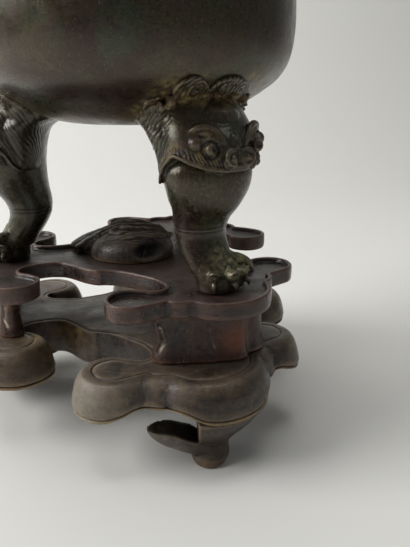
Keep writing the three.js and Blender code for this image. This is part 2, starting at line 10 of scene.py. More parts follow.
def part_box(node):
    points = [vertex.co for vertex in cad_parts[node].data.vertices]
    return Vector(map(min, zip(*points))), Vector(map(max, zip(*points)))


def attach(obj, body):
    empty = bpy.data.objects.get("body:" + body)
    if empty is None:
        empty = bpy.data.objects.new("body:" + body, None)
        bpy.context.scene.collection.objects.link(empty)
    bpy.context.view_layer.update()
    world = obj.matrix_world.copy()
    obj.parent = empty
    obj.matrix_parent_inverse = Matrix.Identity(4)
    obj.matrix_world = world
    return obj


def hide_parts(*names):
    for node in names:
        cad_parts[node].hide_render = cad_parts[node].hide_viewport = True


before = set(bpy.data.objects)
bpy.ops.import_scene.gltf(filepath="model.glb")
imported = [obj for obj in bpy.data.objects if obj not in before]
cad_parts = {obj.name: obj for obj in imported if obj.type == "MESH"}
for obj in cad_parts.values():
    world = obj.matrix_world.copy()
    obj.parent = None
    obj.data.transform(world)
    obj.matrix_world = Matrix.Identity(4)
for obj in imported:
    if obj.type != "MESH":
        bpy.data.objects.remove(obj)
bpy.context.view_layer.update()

# Lower tier of the stand
# A thick board of dark hardwood sawn to three cloud heads, its sides carved to swell out to a
# rounded bead at the lower edge. It is dry and dusty, and worn to ochre along the bead. It sits
# turned by a few degrees on its pegs. The sides of the left curl are painted paler, partly for
# dust and partly as painted light.
MM = 0.001
BOWL_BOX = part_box("censer_bowl")
AXIS = Vector(((BOWL_BOX[0].x + BOWL_BOX[1].x) / 2, (BOWL_BOX[0].y + BOWL_BOX[1].y) / 2, 0))
BASE_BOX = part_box("stand_base")
PLATE_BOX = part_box("stand_plate")
BASE_TOP = BASE_BOX[1].z / MM
BASE_BOTTOM = BASE_BOX[0].z / MM
HEADS = {"front": -60, "rear": 60, "left": 180}
BASE_TURN = -7.2
HEAD_R = 107
LOBE_R = 34.8
CURL_R = 17.3
CURL_U, CURL_V = HEAD_R - CURL_R, 62
BASE_BULGE = 12.2


def polar(degrees, out, side):
    """A plan point given along and across a direction from the vessel's axis."""
    a = math.radians(degrees)
    return (out * math.cos(a) - side * math.sin(a), out * math.sin(a) + side * math.cos(a))


def arc(u, v, radius, start, stop, count):
    angles = np.radians(np.linspace(start, stop, count))
    return [(u + radius * math.cos(a), v + radius * math.sin(a)) for a in angles]


def eased(points, step):
    """A smooth curve through the points, sampled about every step."""
    p = [np.array(q, float) for q in points]
    p = [2 * p[0] - p[1], *p, 2 * p[-1] - p[-2]]
    out = []
    for a, b, c, d in zip(p, p[1:], p[2:], p[3:]):
        n = max(1, round(np.linalg.norm(c - b) / step))
        for t in np.arange(n) / n:
            out.append(0.5 * ((2 * b) + (c - a) * t + (2 * a - 5 * b + 4 * c - d) * t**2
                              + (3 * b - a - 3 * c + d) * t**3))
    return out + [p[-2]]


def cloud_plan(turn=0):
    """Outline of a board, with for each point the name of the stretch that it belongs to."""
    step = 2.0
    points, parts = [], []

    def run(name, degrees, stretch):
        for u, v in stretch:
            points.append(polar(degrees, u, v))
            parts.append(name)

    wall = eased([(54.5, 0), (52.3, 9.5), (52.9, 21), (54.2, 30), (56, 39.5), (59.8, 48),
                  (64.5, 54.5), (70, 57.9), (75.5, 57.4), (79.6, 53), (80.9, 46)], step)
    other = eased([(82, -46), (81.8, -54), (77, -59.4), (70.3, -59.8), (64, -57), (58.6, -53),
                   (53.4, -47.5), (50.6, -41), (51, -34), (52.9, -26.7), (55.5, -19),
                   (57.1, -11.5), (57, -5), (54.5, 0)], step)
    curl = arc(CURL_U, -CURL_V, CURL_R, 146, 345, 30)
    neck = eased([curl[-1], (HEAD_R + 0.6, -52), (HEAD_R + 1, -45.4)], step)
    bump = eased([(HEAD_R + 1, -45.4), (HEAD_R + 5.4, -43.6), (HEAD_R + 9.6, -38.5),
                  (HEAD_R + 12.2, -31.6)], step)
    lobe = arc(HEAD_R, 0, LOBE_R, -66, 66, 40)
    for degrees in HEADS.values():
        d = degrees + turn
        run("wall", d - 60, wall[:-1])
        run("curl", d, curl[:-1])
        run("neck", d, neck[:-1])
        run("bump", d, bump[:-1])
        run("shoulder", d, lobe[:9])
        run("lobe", d, lobe[9:-9])
        run("shoulder", d, lobe[-9:])
        run("bump", d, [(u, -v) for u, v in bump[:-1]][::-1])
        run("neck", d, [(u, -v) for u, v in neck[:-1]][::-1])
        run("curl", d, [(u, -v) for u, v in curl[:-1]][::-1])
        run("wall", d + 60, other[:-1])
    return np.array(points), parts


def distances(outline, q):
    """Shortest distance of each point q from the closed outline."""
    a, b = outline, np.roll(outline, -1, 0)
    d = b - a
    t = np.clip(((q[:, None] - a) * d).sum(2) / (d * d).sum(1), 0, 1)
    return np.linalg.norm(q[:, None] - (a + t[:, :, None] * d), axis=2).min(1)


def moved(outline, by):
    """The outline moved outwards by that much at each point, bridged where it would fold over."""
    by = np.broadcast_to(np.asarray(by, float), len(outline))
    t = np.roll(outline, -1, 0) - np.roll(outline, 1, 0)
    t /= np.linalg.norm(t, axis=1)[:, None]
    q = outline + np.stack([t[:, 1], -t[:, 0]], 1) * by[:, None]
    good = distances(outline, q) > np.abs(by) * 0.985 - 1e-6
    if good.all() or not good.any():
        return q
    i = np.arange(len(q))
    ahead = np.concatenate([i[good], i[good] + len(q)])
    k = np.searchsorted(ahead, i)
    hi, lo = ahead[k], np.where(k > 0, ahead[k - 1], ahead[good.sum() - 1] - len(q))
    w = np.where(good, 0, (i - lo) / np.maximum(1, hi - lo))
    before, after = q[np.where(good, i, lo) % len(q)], q[hi % len(q)]
    return before * (1 - w)[:, None] + after * w[:, None]


def turned_edges(bm, ring, places):
    """Extrudes a closed ring of points and sets the new ring where it belongs."""
    edges = [bm.edges.get((v, w)) for v, w in zip(ring, ring[1:] + ring[:1])]
    made = bmesh.ops.extrude_edge_only(bm, edges=edges)
    fresh = {g for g in made["geom"] if isinstance(g, bmesh.types.BMVert)}
    new = [next(e.other_vert(v) for e in v.link_edges if e.other_vert(v) in fresh) for v in ring]
    for v, place in zip(new, places):
        v.co = place
    return new


def carved_board(rings):
    """A closed board over rings of places, from its underside to its top."""
    bm = bmesh.new()
    ring = [bm.verts.new(p) for p in rings[0]]
    bm.faces.new(ring[::-1])
    for places in rings[1:]:
        ring = turned_edges(bm, ring, places)
    bm.faces.new(ring)
    bm.normal_update()
    bmesh.ops.triangulate(bm, faces=[f for f in bm.faces if len(f.verts) > 4])
    bmesh.ops.recalc_face_normals(bm, faces=bm.faces)
    return bm


def uneven(bm, size, depth, seed):
    """The slight unevenness of hand work: each point shifts a little along its normal."""
    bm.normal_update()
    for v in bm.verts:
        v.co += v.normal * depth * noise.noise(v.co / size + Vector((seed, 0, 0)))


def linked(name, data):
    made = bpy.data.objects.new(name, data)
    bpy.context.collection.objects.link(made)
    return made


def settle(bm, name, material, body, node, sharp):
    """Turns a mesh worked in millimetres about the vessel's axis into a piece of the model."""
    bmesh.ops.scale(bm, vec=(MM, MM, MM), verts=bm.verts)
    bmesh.ops.translate(bm, vec=AXIS, verts=bm.verts)
    mesh = bpy.data.meshes.new(name)
    bm.to_mesh(mesh)
    bm.free()
    mesh.polygons.foreach_set("use_smooth", [True] * len(mesh.polygons))
    mesh.set_sharp_from_angle(angle=math.radians(sharp))
    mesh.materials.append(material)
    piece = linked(name, mesh)
    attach(piece, body)
    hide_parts(node)
    return piece


def store(piece, name, values):
    """Stores a mask at each point of a piece, from 0 to 1, for its material to read."""
    piece.data.attributes.new(name, "FLOAT", "POINT").data.foreach_set("value", values)


def paint(piece, name, rule):
    """Stores a mask worked out from where each point lies, in millimetres."""
    store(piece, name, [rule((v.co - AXIS) / MM) for v in piece.data.vertices])


def group(name, inputs, outputs):
    """An empty shader node group with named inputs and outputs."""
    g = bpy.data.node_groups.new(name, "ShaderNodeTree")
    kinds = {"c": "NodeSocketColor", "f": "NodeSocketFloat", "v": "NodeSocketVector"}
    for label, kind, value in inputs:
        socket = g.interface.new_socket(label, in_out="INPUT", socket_type=kinds[kind])
        if value is not None:
            socket.default_value = value
    for label, kind in outputs:
        g.interface.new_socket(label, in_out="OUTPUT", socket_type=kinds[kind])
    return g, g.nodes.new("NodeGroupInput"), g.nodes.new("NodeGroupOutput")


class Wires:
    """Adds nodes to a tree and joins them up."""

    def __init__(self, tree):
        self.tree = tree

    def add(self, kind, settings=None, **inputs):
        node = self.tree.nodes.new("ShaderNode" + kind)
        for key, value in (settings or {}).items():
            setattr(node, key, value)
        for key, value in inputs.items():
            self.set(node, key.replace("_", " "), value)
        return node

    def set(self, node, key, value):
        socket = node.inputs[int(key[1:]) if key[0] == "i" and key[1:].isdigit() else key]
        if isinstance(value, bpy.types.NodeSocket):
            self.tree.links.new(value, socket)
        else:
            socket.default_value = value

    def maths(self, operation, a, b=0.0, clamp=False):
        return self.add("Math", {"operation": operation, "use_clamp": clamp}, i0=a, i1=b).outputs[0]

    def times(self, a, b):
        return self.maths("MULTIPLY", a, b)

    def spread(self, value, low, high, to_low=0.0, to_high=1.0):
        node = self.add("MapRange", None, i0=value, i1=low, i2=high, i3=to_low, i4=to_high)
        return node.outputs[0]

    def blend(self, factor, a, b):
        node = self.add("Mix", {"data_type": "RGBA"})
        self.set(node, "i0", factor)
        self.set(node, "i6", a)
        self.set(node, "i7", b)
        return node.outputs[2]

    def noise(self, vector, scale, detail=4.0, rough=0.55, distort=0.0):
        node = self.add("TexNoise", None, Vector=vector, Scale=scale, Detail=detail,
                        Roughness=rough, Distortion=distort)
        return node.outputs["Fac"]

    def stretched(self, vector, scale, turn=(0, 0, 0)):
        node = self.add("Mapping", None, Vector=vector, Rotation=turn, Scale=scale)
        return node.outputs[0]

    def mask(self, name):
        return self.add("Attribute", {"attribute_name": name, "attribute_type": "GEOMETRY"}).outputs["Fac"]


def colour(r, g, b):
    """An sRGB colour of 0 to 255 as the linear colour that Blender wants."""
    def linear(c):
        c /= 255
        return c / 12.92 if c <= 0.04045 else ((c + 0.055) / 1.055) ** 2.4
    return (linear(r), linear(g), linear(b), 1.0)


def shade(tone, share):
    return [c * share for c in tone[:3]] + [1]


def make_wear_group():
    """Edges that stick out, and hollows, picked out by how sharply the surface turns."""
    g, start, end = group("worn_edges", [("Reach", "f", 0.02), ("Break", "f", 0.5), ("Place", "v", None)],
                          [("Edges", "f"), ("Hollows", "f")])
    w = Wires(g)
    point = w.add("NewGeometry").outputs["Pointiness"]
    blotch = w.noise(start.outputs["Place"], 90.0, 5.0, 0.65)
    soft = w.spread(blotch, 0.35, 0.65, 0.15, 1.0)
    high = w.maths("ADD", 0.5, start.outputs["Reach"])
    low = w.maths("SUBTRACT", 0.5, start.outputs["Reach"])
    edge = w.spread(point, 0.504, high)
    hollow = w.spread(point, 0.496, low)
    steady = w.times(edge, w.maths("SUBTRACT", 1.0, start.outputs["Break"]))
    broken = w.times(w.times(edge, soft), start.outputs["Break"])
    g.links.new(w.maths("ADD", steady, broken), end.inputs["Edges"])
    g.links.new(hollow, end.inputs["Hollows"])
    return g


def make_grain_group():
    """Long hardwood grain with darker pores, running along X of the given place."""
    g, start, end = group("wood_grain", [("Place", "v", None)], [("Bands", "f"), ("Pores", "f")])
    w = Wires(g)
    place = start.outputs["Place"]
    bands = w.noise(w.stretched(place, (12.0, 150.0, 150.0)), 1.0, 5.0, 0.62, 0.7)
    pores = w.noise(w.stretched(place, (70.0, 1500.0, 1500.0)), 1.0, 2.0, 0.5)
    g.links.new(w.spread(bands, 0.32, 0.68), end.inputs["Bands"])
    g.links.new(w.spread(pores, 0.56, 0.74), end.inputs["Pores"])
    return g


def make_dust_group():
    """Dust that settles on faces that look up, thicker where the noise says."""
    g, start, end = group("settled_dust", [("Place", "v", None), ("Amount", "f", 0.5)], [("Dust", "f")])
    w = Wires(g)
    up = w.add("SeparateXYZ", None, i0=w.add("NewGeometry").outputs["Normal"]).outputs["Z"]
    cloud = w.noise(start.outputs["Place"], 38.0, 6.0, 0.6)
    facing = w.spread(up, 0.25, 0.95)
    patch = w.spread(cloud, 0.3, 0.7)
    g.links.new(w.times(w.times(facing, patch), start.outputs["Amount"]), end.inputs["Dust"])
    return g


WEAR = make_wear_group()
GRAIN = make_grain_group()
DUST = make_dust_group()


def fresh_material(name, roughness):
    material = bpy.data.materials.new(name)
    material.use_nodes = True
    tree = material.node_tree
    shader = tree.nodes["Principled BSDF"]
    shader.inputs["Roughness"].default_value = roughness
    return material, Wires(tree), shader


def place_group(w, tree, **inputs):
    node = w.add("Group")
    node.node_tree = tree
    for key, value in inputs.items():
        w.set(node, key, value)
    return node


def carved_wood(name, dark, warm, worn, dust, dusty, roughness=0.42, grain_turn=(0, 0, 0), reach=0.03,
                scuff=0.35, extras=()):
    """Waxed dark hardwood: grain in two tones, paler worn edges, dark hollows and a film of dust.
    Each extra is the name of a painted mask, its colour and whether it stands in relief."""
    material, w, shader = fresh_material(name, roughness)
    place = w.add("TexCoord").outputs["Object"]
    grain = place_group(w, GRAIN, Place=w.stretched(place, (1, 1, 1), grain_turn))
    wear = place_group(w, WEAR, Place=place, Reach=reach, Break=0.7)
    film = place_group(w, DUST, Place=place, Amount=dusty)
    tone = w.blend(grain.outputs["Bands"], dark, warm)
    blotch = w.spread(w.noise(place, 20.0, 5.0, 0.66), 0.42, 0.6)
    tone = w.blend(w.times(blotch, 0.6), tone, warm)
    stain = w.spread(w.noise(place, 34.0, 5.0, 0.66, 0.5), 0.48, 0.64, 0.0, 0.8)
    tone = w.blend(stain, tone, shade(dark, 0.4))
    tone = w.blend(w.times(grain.outputs["Pores"], 0.6), tone, shade(dark, 0.35))
    rubbed = w.spread(w.noise(place, 110.0, 8.0, 0.78), 0.54, 0.68, 0.0, scuff * 1.3)
    tone = w.blend(rubbed, tone, worn)
    tone = w.blend(w.times(wear.outputs["Hollows"], 0.8), tone, shade(dark, 0.25))
    tone = w.blend(w.times(wear.outputs["Edges"], 0.7), tone, worn)
    tone = w.blend(film.outputs["Dust"], tone, dust)
    grit = w.spread(w.noise(place, 620.0, 3.0, 0.7), 0.6, 0.7, 0.0, 0.4)
    tone = w.blend(grit, tone, dust)
    height = w.maths("SUBTRACT", w.times(w.noise(place, 260.0, 5.0, 0.62), 0.7),
                     w.times(grain.outputs["Pores"], 0.5))
    height = w.maths("ADD", height, w.times(w.noise(place, 85.0, 3.0, 0.5), 1.6))
    rough = w.spread(film.outputs["Dust"], 0.0, 0.6, roughness, 0.8)
    rough = w.maths("ADD", rough, w.spread(blotch, 0.0, 1.0, -0.1, 0.12))
    for mask, paint_colour, relief in extras:
        amount = w.times(w.mask(mask), w.spread(w.noise(place, 330.0, 5.0, 0.7), 0.3, 0.55, 0.45, 1.0))
        tone = w.blend(amount, tone, paint_colour)
        rough = w.maths("ADD", rough, w.times(amount, 0.25))
        height = w.maths("ADD", height, w.times(amount, relief))
    bump = w.add("Bump", None, Height=height, Strength=0.6, Distance=0.0008)
    w.set(shader, "Base Color", tone)
    w.set(shader, "Roughness", rough)
    w.set(shader, "Normal", bump.outputs[0])
    shader.inputs["Coat Weight"].default_value = 0.12
    shader.inputs["Coat Roughness"].default_value = 0.2
    shader.inputs["Specular IOR Level"].default_value = 0.4
    return material


GOLD_DIRT = colour(122, 98, 58)
# Its extras: ochre dirt; a pale mask that paints dust and painted light together, on the left curl and
# inside the foot scoops; and painted shadow in the boss's dent.
BASE_WOOD = carved_wood("dusty_grey_hardwood", colour(22, 17, 15), colour(68, 56, 48), colour(140, 118, 90),
                        colour(104, 96, 87), 0.34, 0.36, (0, 0, 0.35), 0.03, 0.3,
                        [("ochre", colour(150, 122, 78), 0.4), ("pale", colour(146, 138, 124), 0.2),
                         ("shadow", colour(10, 8, 7), 0.0)])

# The side from the underside to the top edge: reach as a share of the swell, at the curls and
# where it runs on into the foot, and height as a share of the side.
TIER_SIDE = [(0.2, 0.9, 0.0), (0.5, 0.93, 0.0), (0.75, 0.945, 0.004), (0.9, 0.955, 0.02),
             (0.955, 0.975, 0.045), (0.968, 0.985, 0.07), (0.95, 0.975, 0.088), (0.89, 0.935, 0.102),
             (0.885, 0.93, 0.118), (0.935, 0.965, 0.135), (0.98, 0.99, 0.165), (0.997, 1.0, 0.2),
             (1.0, 1.0, 0.24), (0.985, 0.985, 0.3),
             (0.95, 0.95, 0.37), (0.92, 0.92, 0.44), (0.88, 0.88, 0.52), (0.835, 0.835, 0.595),
             (0.78, 0.78, 0.667), (0.72, 0.72, 0.74), (0.645, 0.645, 0.815), (0.565, 0.565, 0.87),
             (0.48, 0.48, 0.918), (0.4, 0.4, 0.95), (0.31, 0.31, 0.975), (0.2, 0.2, 0.992),
             (0.08, 0.08, 1.0)]
# The top inside that edge, with a shallow carved line round it: millimetres inwards and down.
TIER_TOP = [(0.9, 0.0), (1.8, 0.02), (2.2, 0.45), (2.8, 0.48), (3.2, 0.03), (6.4, 0.0)]
# Where dirt the colour of old gold clings to the wall of the left recess.
GOLD_WALL = (-68, -38)


def near(distance, width, power=2):
    """1 at no distance, dying away smoothly past that width."""
    return math.exp(-((distance / width) ** power))


def clamped(value):
    return min(1.0, max(0.0, value))


def smoothed_round(values, rounds):
    for _ in range(rounds):
        values = (np.roll(values, 1) + values * 2 + np.roll(values, -1)) / 4
    return values


def make_base():
    plan, parts = cloud_plan(BASE_TURN)
    swell = smoothed_round(np.array([0.1 if p == "wall" else 1.0 for p in parts]), 16)
    arch = smoothed_round(np.array([8.0 if p in ("bump", "neck", "shoulder") else 0.0 for p in parts]), 12)
    flush = smoothed_round(np.array([1.0 if p == "lobe" else 0.0 for p in parts]), 10)
    rings = []
    for at_curl, at_foot, up in TIER_SIDE:
        reach = at_curl * (1 - flush) + at_foot * flush
        bottom = BASE_BOTTOM + arch
        z = bottom + (BASE_TOP - bottom) * up
        line = moved(plan, reach * BASE_BULGE * swell)
        rings.append([(x, y, h) for (x, y), h in zip(line, z)])
    for inside, down in TIER_TOP:
        rings.append([(x, y, BASE_TOP - down) for x, y in moved(plan, -inside)])
    bm = carved_board(rings)
    uneven(bm, 26, 0.5, 3)
    uneven(bm, 8, 0.2, 9)
    front = HEADS["front"] + BASE_TURN
    gouges = [Vector((*polar(front, u, v), BASE_BOTTOM + h)) for u, v, h in
              ((139, -21.5, 9), (143, -6, 9.5), (128, -39, 10), (97, -79, 11))]
    bm.normal_update()
    for v in bm.verts:
        for spot in gouges:
            away = v.co - spot
            away.z *= 2.6
            if away.length < 7:
                v.co -= v.normal * 1.3 * near(away.length, 2.6)
    base = settle(bm, "lower_tier", BASE_WOOD, "stand", "stand_base", 50)

    gold_wall = Vector((*GOLD_WALL, BASE_TOP - 4))
    ochre = []
    for i, v in enumerate(base.data.vertices):
        p = (v.co - AXIS) / MM
        row = i // len(plan)
        up = TIER_SIDE[row][2] if row < len(TIER_SIDE) else 1.0
        low = near(up - 0.06, 0.035, 4) * clamped((math.hypot(p.x, p.y) - 70) / 25)
        wall = 1.5 * near((p - gold_wall).length, 18) * (0.8 + 1.2 * noise.noise(p / 5))
        ochre.append(clamped(0.9 * low * (0.7 + 0.7 * noise.noise(p / 7)) + wall))
    store(base, "ochre", ochre)
    # The sides of the left curl are painted paler: partly dust, partly painted light from the left.
    dusty_and_lit_curl = Vector((*polar(front, CURL_U, -CURL_V - 12), BASE_BOTTOM + 12))
    paint(base, "pale", lambda p: (0.9 if p.z < BASE_TOP - 1.2 else 0.0)
          * near((p - dusty_and_lit_curl).length, 24))


make_base()

# Feet with scroll leaves
# Each cloud head runs down into a bulbous foot that leans outwards and narrows to a round pad.
# From the pad a hollow leaf curls up on each side, like a scoop, and stops short of the board.
# Carved from one piece of hardwood and pegged up into the lower tier. The inside of each scoop
# is painted paler near its tip, partly dust and partly painted light in the scoop's shade.
FOOT_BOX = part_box("stand_foot_front")
FOOT_R = HEAD_R - 2.2
FOOT_BEND = 6
FOOT_TOP = FOOT_BOX[1].z / MM
LEAN_OUT, LEAN_ASIDE = 22.9, -13.9
OVAL_POINTS = 48
WOOD_VOXEL = 0.7
# Height, further out, share of the bend to one side, radius, before the foot leans.
FOOT_RINGS = [(0.15, 0, 1, 6.6), (0.5, 0, 1, 8.6), (1.4, 0, 1, 10.9), (3.5, 0, 1, 12.5), (6.2, 0, 1, 13.7),
              (9, 0, 1, 13.4), (11.8, 0, 1, 13.2), (14.6, 0, 1, 13.7), (16.8, 0.2, 0.87, 15.9),
              (19.5, 0.6, 0.7, 18.9), (22.2, 1, 0.53, 22), (25, 1.4, 0.37, 25.4), (27.8, 1.8, 0.23, 29.2),
              (30.6, 2, 0.13, 32.8), (33.4, 2.2, 0.05, 36.3), (36, 2.2, 0, 39.4), (38.8, 2.2, 0, 42.3),
              (41.2, 2.2, 0, 44.7), (FOOT_TOP - 0.5, 2.2, 0, 45.8), (FOOT_TOP, 2.2, 0, 45.4)]
# The leaf from its root to its tip: sideways and height of the keel, of the front edge and of the
# back edge, share of the full width, share of the wall.
LEAF = [(-2, 6, 0, 14, 0, 17.5, 1, 1), (-9, 9, -6, 18, -6, 21.5, 1, 1),
        (-18.5, 13, -13, 20, -14, 24.4, 1, 1), (-28.5, 17.8, -21, 23.4, -20.5, 27, 1, 1),
        (-35, 21, -28.5, 27.2, -27, 28.8, 1, 1), (-40.3, 24.6, -35.5, 29.6, -34, 29.6, 0.93, 0.9),
        (-43.4, 27.8, -40.8, 30.4, -39.6, 29.8, 0.76, 0.75), (-44.8, 30, -43.6, 31, -43, 30.4, 0.44, 0.5)]
LEAF_MIDDLE, LEAF_HALF, LEAF_WALL = HEAD_R - 0.5, 10.8, 3.8
# The bulb is carved away on one side, along a line through this place, facing this way.
HOLLOW_AT, HOLLOW_FACING = Vector((109, -5.8)), Vector((-0.491, -0.871))


def oval(middle, side, deep, wide, z, square=2):
    places = []
    for i in range(OVAL_POINTS):
        a = math.tau * i / OVAL_POINTS
        c, s = math.cos(a), math.sin(a)
        places.append((middle + deep * math.copysign(abs(c) ** (2 / square), c),
                       side + wide * math.copysign(abs(s) ** (2 / square), s), z))
    return places


def stacked(bm, rings):
    """A closed skin over a stack of rings of places."""
    ring = [bm.verts.new(p) for p in rings[0]]
    bmesh.ops.poke(bm, faces=[bm.faces.new(ring[::-1])])
    for places in rings[1:]:
        ring = turned_edges(bm, ring, places)
    bmesh.ops.poke(bm, faces=[bm.faces.new(ring)])


def bead(bm, middle, radii, turn=(0, 0, 0), detail=3):
    """A rounded lump, given by its middle, its three half sizes and how it is turned."""
    spin = Matrix.Rotation(math.radians(turn[2]), 4, "Z") @ Matrix.Rotation(math.radians(turn[1]), 4, "Y")
    spin = spin @ Matrix.Rotation(math.radians(turn[0]), 4, "X")
    where = Matrix.Translation(middle) @ spin @ Matrix.Diagonal((*radii, 1))
    bmesh.ops.create_icosphere(bm, subdivisions=detail, radius=1, matrix=where)


def roll(bm, path, radii, sides=12, step=1.4):
    """A strand of changing thickness along a smooth path."""
    line = [Vector(p) for p in eased(path, step)]
    count = len(line)
    rings = []
    across = None
    for k, point in enumerate(line):
        ahead = (line[min(k + 1, count - 1)] - line[max(k - 1, 0)]).normalized()
        if across is None:
            across = ahead.orthogonal()
        across = (across - ahead * across.dot(ahead)).normalized()
        other = ahead.cross(across)
        r = float(np.interp(k / (count - 1) * (len(radii) - 1), range(len(radii)), radii))
        rings.append([point + across * (r * math.cos(math.tau * j / sides))
                      + other * (r * math.sin(math.tau * j / sides)) for j in range(sides)])
    stacked(bm, rings)


def fused(bm, voxel):
    """Joins overlapping closed lumps into one even skin, as one carving or casting."""
    rough = bpy.data.meshes.new("lumps")
    bmesh.ops.recalc_face_normals(bm, faces=bm.faces)
    bm.to_mesh(rough)
    bm.free()
    lump = linked("lumps", rough)
    remesh = lump.modifiers.new("fuse", "REMESH")
    remesh.mode = "VOXEL"
    remesh.voxel_size = voxel
    depsgraph = bpy.context.evaluated_depsgraph_get()
    skin = bmesh.new()
    skin.from_object(lump, depsgraph)
    bpy.data.objects.remove(lump)
    bpy.data.meshes.remove(rough)
    for _ in range(2):
        bmesh.ops.smooth_vert(skin, verts=skin.verts, factor=0.5, use_axis_x=True, use_axis_y=True,
                              use_axis_z=True)
    skin.normal_update()
    return skin


def turn_mesh(bm, degrees):
    """Turns a mesh about the vessel's axis."""
    matrix = Matrix.Rotation(math.radians(degrees), 3, "Z")
    bmesh.ops.rotate(bm, cent=(0, 0, 0), matrix=matrix, verts=bm.verts)


def turned(bm, degrees):
    made = bm.copy()
    turn_mesh(made, degrees)
    return made


def leaf_ring(step, mirror):
    """A bent section of the leaf: down its outside from front to back, and back along its inside."""
    keel_v, keel_z, front_v, front_z, back_v, back_z, share, wall = step
    half = LEAF_HALF * share

    def bend(inset):
        front = Vector((LEAF_MIDDLE + half - inset, front_v, front_z))
        back = Vector((LEAF_MIDDLE - half + inset, back_v, back_z))
        top = (front + back) / 2
        keel = Vector((LEAF_MIDDLE, keel_v, keel_z))
        keel += (top - keel).normalized() * inset
        pull = keel * 2 - top
        return [front * (1 - t) ** 2 + pull * (2 * t * (1 - t)) + back * t**2
                for t in np.linspace(0, 1, 15)]

    ring = bend(0) + bend(min(LEAF_WALL * wall, half * 0.8))[::-1]
    if mirror:
        ring = [Vector((p.x, 0.6 * FOOT_BEND - p.y, p.z)) for p in ring]
    return ring


def apart(p, path):
    """Distance of a point from a line of points."""
    a = np.array(path[:-1], float)
    d = np.array(path[1:], float) - a
    q = np.array(p, float)
    t = np.clip(((q - a) * d).sum(1) / (d * d).sum(1), 0, 1)
    return float(np.linalg.norm(q - a - t[:, None] * d, axis=1).min())


def make_feet():
    bm = bmesh.new()
    bulb = [oval(FOOT_R + out, share * FOOT_BEND, r, r, z) for z, out, share, r in eased(FOOT_RINGS, 1.5)]
    stacked(bm, bulb)
    for v in bm.verts:
        cut = (Vector((v.co.x, v.co.y)) - HOLLOW_AT).dot(HOLLOW_FACING)
        if cut > 0:
            fade = clamped((v.co.z - 9) / 7)
            v.co -= Vector((*HOLLOW_FACING, 0)) * (cut * 0.94 * fade)
    for mirror in (False, True):
        stacked(bm, [leaf_ring(step, mirror) for step in eased(LEAF, 1.6)])
    for v in bm.verts:
        low = 1 - v.co.z / FOOT_TOP
        v.co += Vector((LEAN_OUT * low, LEAN_ASIDE * low, 0))
    foot = fused(bm, WOOD_VOXEL)
    for name, degrees in HEADS.items():
        piece = turned(foot, degrees + BASE_TURN)
        uneven(piece, 14, 0.45, degrees)
        uneven(piece, 5, 0.15, degrees)
        for v in piece.verts:
            v.co.z = max(v.co.z, 0)
        made = settle(piece, "scroll_foot_" + name, BASE_WOOD, "stand",
                      "stand_foot_" + name, 60)
        paint(made, "ochre", lambda p: 0.5 * near(p.z, 6) * (0.6 + 0.8 * noise.noise(p / 7)))
        # Paler inside each scoop near its tip: partly dust, partly painted light where the scoop lies in
        # shade.
        scoop = [(*polar(degrees + BASE_TURN, u, v), z) for u, v, z in ((120, -30, 21), (114, -49, 30))]
        paint(made, "pale", lambda p: 0.85 * near(apart(p, scoop), 9) * (0.7 + 0.6 * noise.noise(p / 5)))
    foot.free()


make_feet()

# Waist blocks
# Three bent blocks of red-brown hardwood, notched in front, carry the upper board over the lower
# one. Each has a thin crack, a raw splinter broken off at a corner, dirt the colour of old gold
# under the board, and a painted orange highlight on its front corner. The left block was set the
# other way round, further out.
WAIST_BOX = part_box("stand_waist_front")
PLATE_BOTTOM = PLATE_BOX[0].z / MM
LEFT_WAIST_OUT = 9
# Besides the gold dirt and the raw wood, one extra mask paints an orange highlight.
WAIST_WOOD = carved_wood("cracked_red_hardwood", colour(20, 11, 9), colour(64, 37, 27), colour(124, 90, 66),
                         colour(92, 74, 58), 0.26, 0.3, (0, math.pi / 2, 0), 0.035, 0.3,
                         [("painted_orange_highlight", colour(132, 66, 34), 0.0), ("gold", GOLD_DIRT, 0.6),
                          ("raw", colour(186, 172, 154), -0.8)])
WAIST_PLAN = [(118.5, 13.5), (117.5, 18), (118, 24), (115.5, 31), (109, 36.5), (101, 38), (97, 33),
              (95, 22), (94, 10), (93, 0), (90, -12), (86.5, -24), (84, -36), (85.6, -41), (90, -43.5),
              (96, -41), (101.5, -33), (110, -18.5), (117, -6), (121.5, 3), (122, 9), (118.5, 13.5)]
# Places on each block, before it is turned: a splintered corner, and a thin crack.
CHIP = [(92.6, -42.4, 26.5), (94.1, -41.8, 24), (94.8, -41.5, 20.5), (96.1, -40.9, 16.2),
        (95.3, -41.3, 13.5), (92.5, -42.5, 8.5)]
CRACK = [(112.4, -14.1, 25.3), (113.2, -12.9, 16.8), (114.2, -11, 10.4), (116.4, -7.1, 1)]


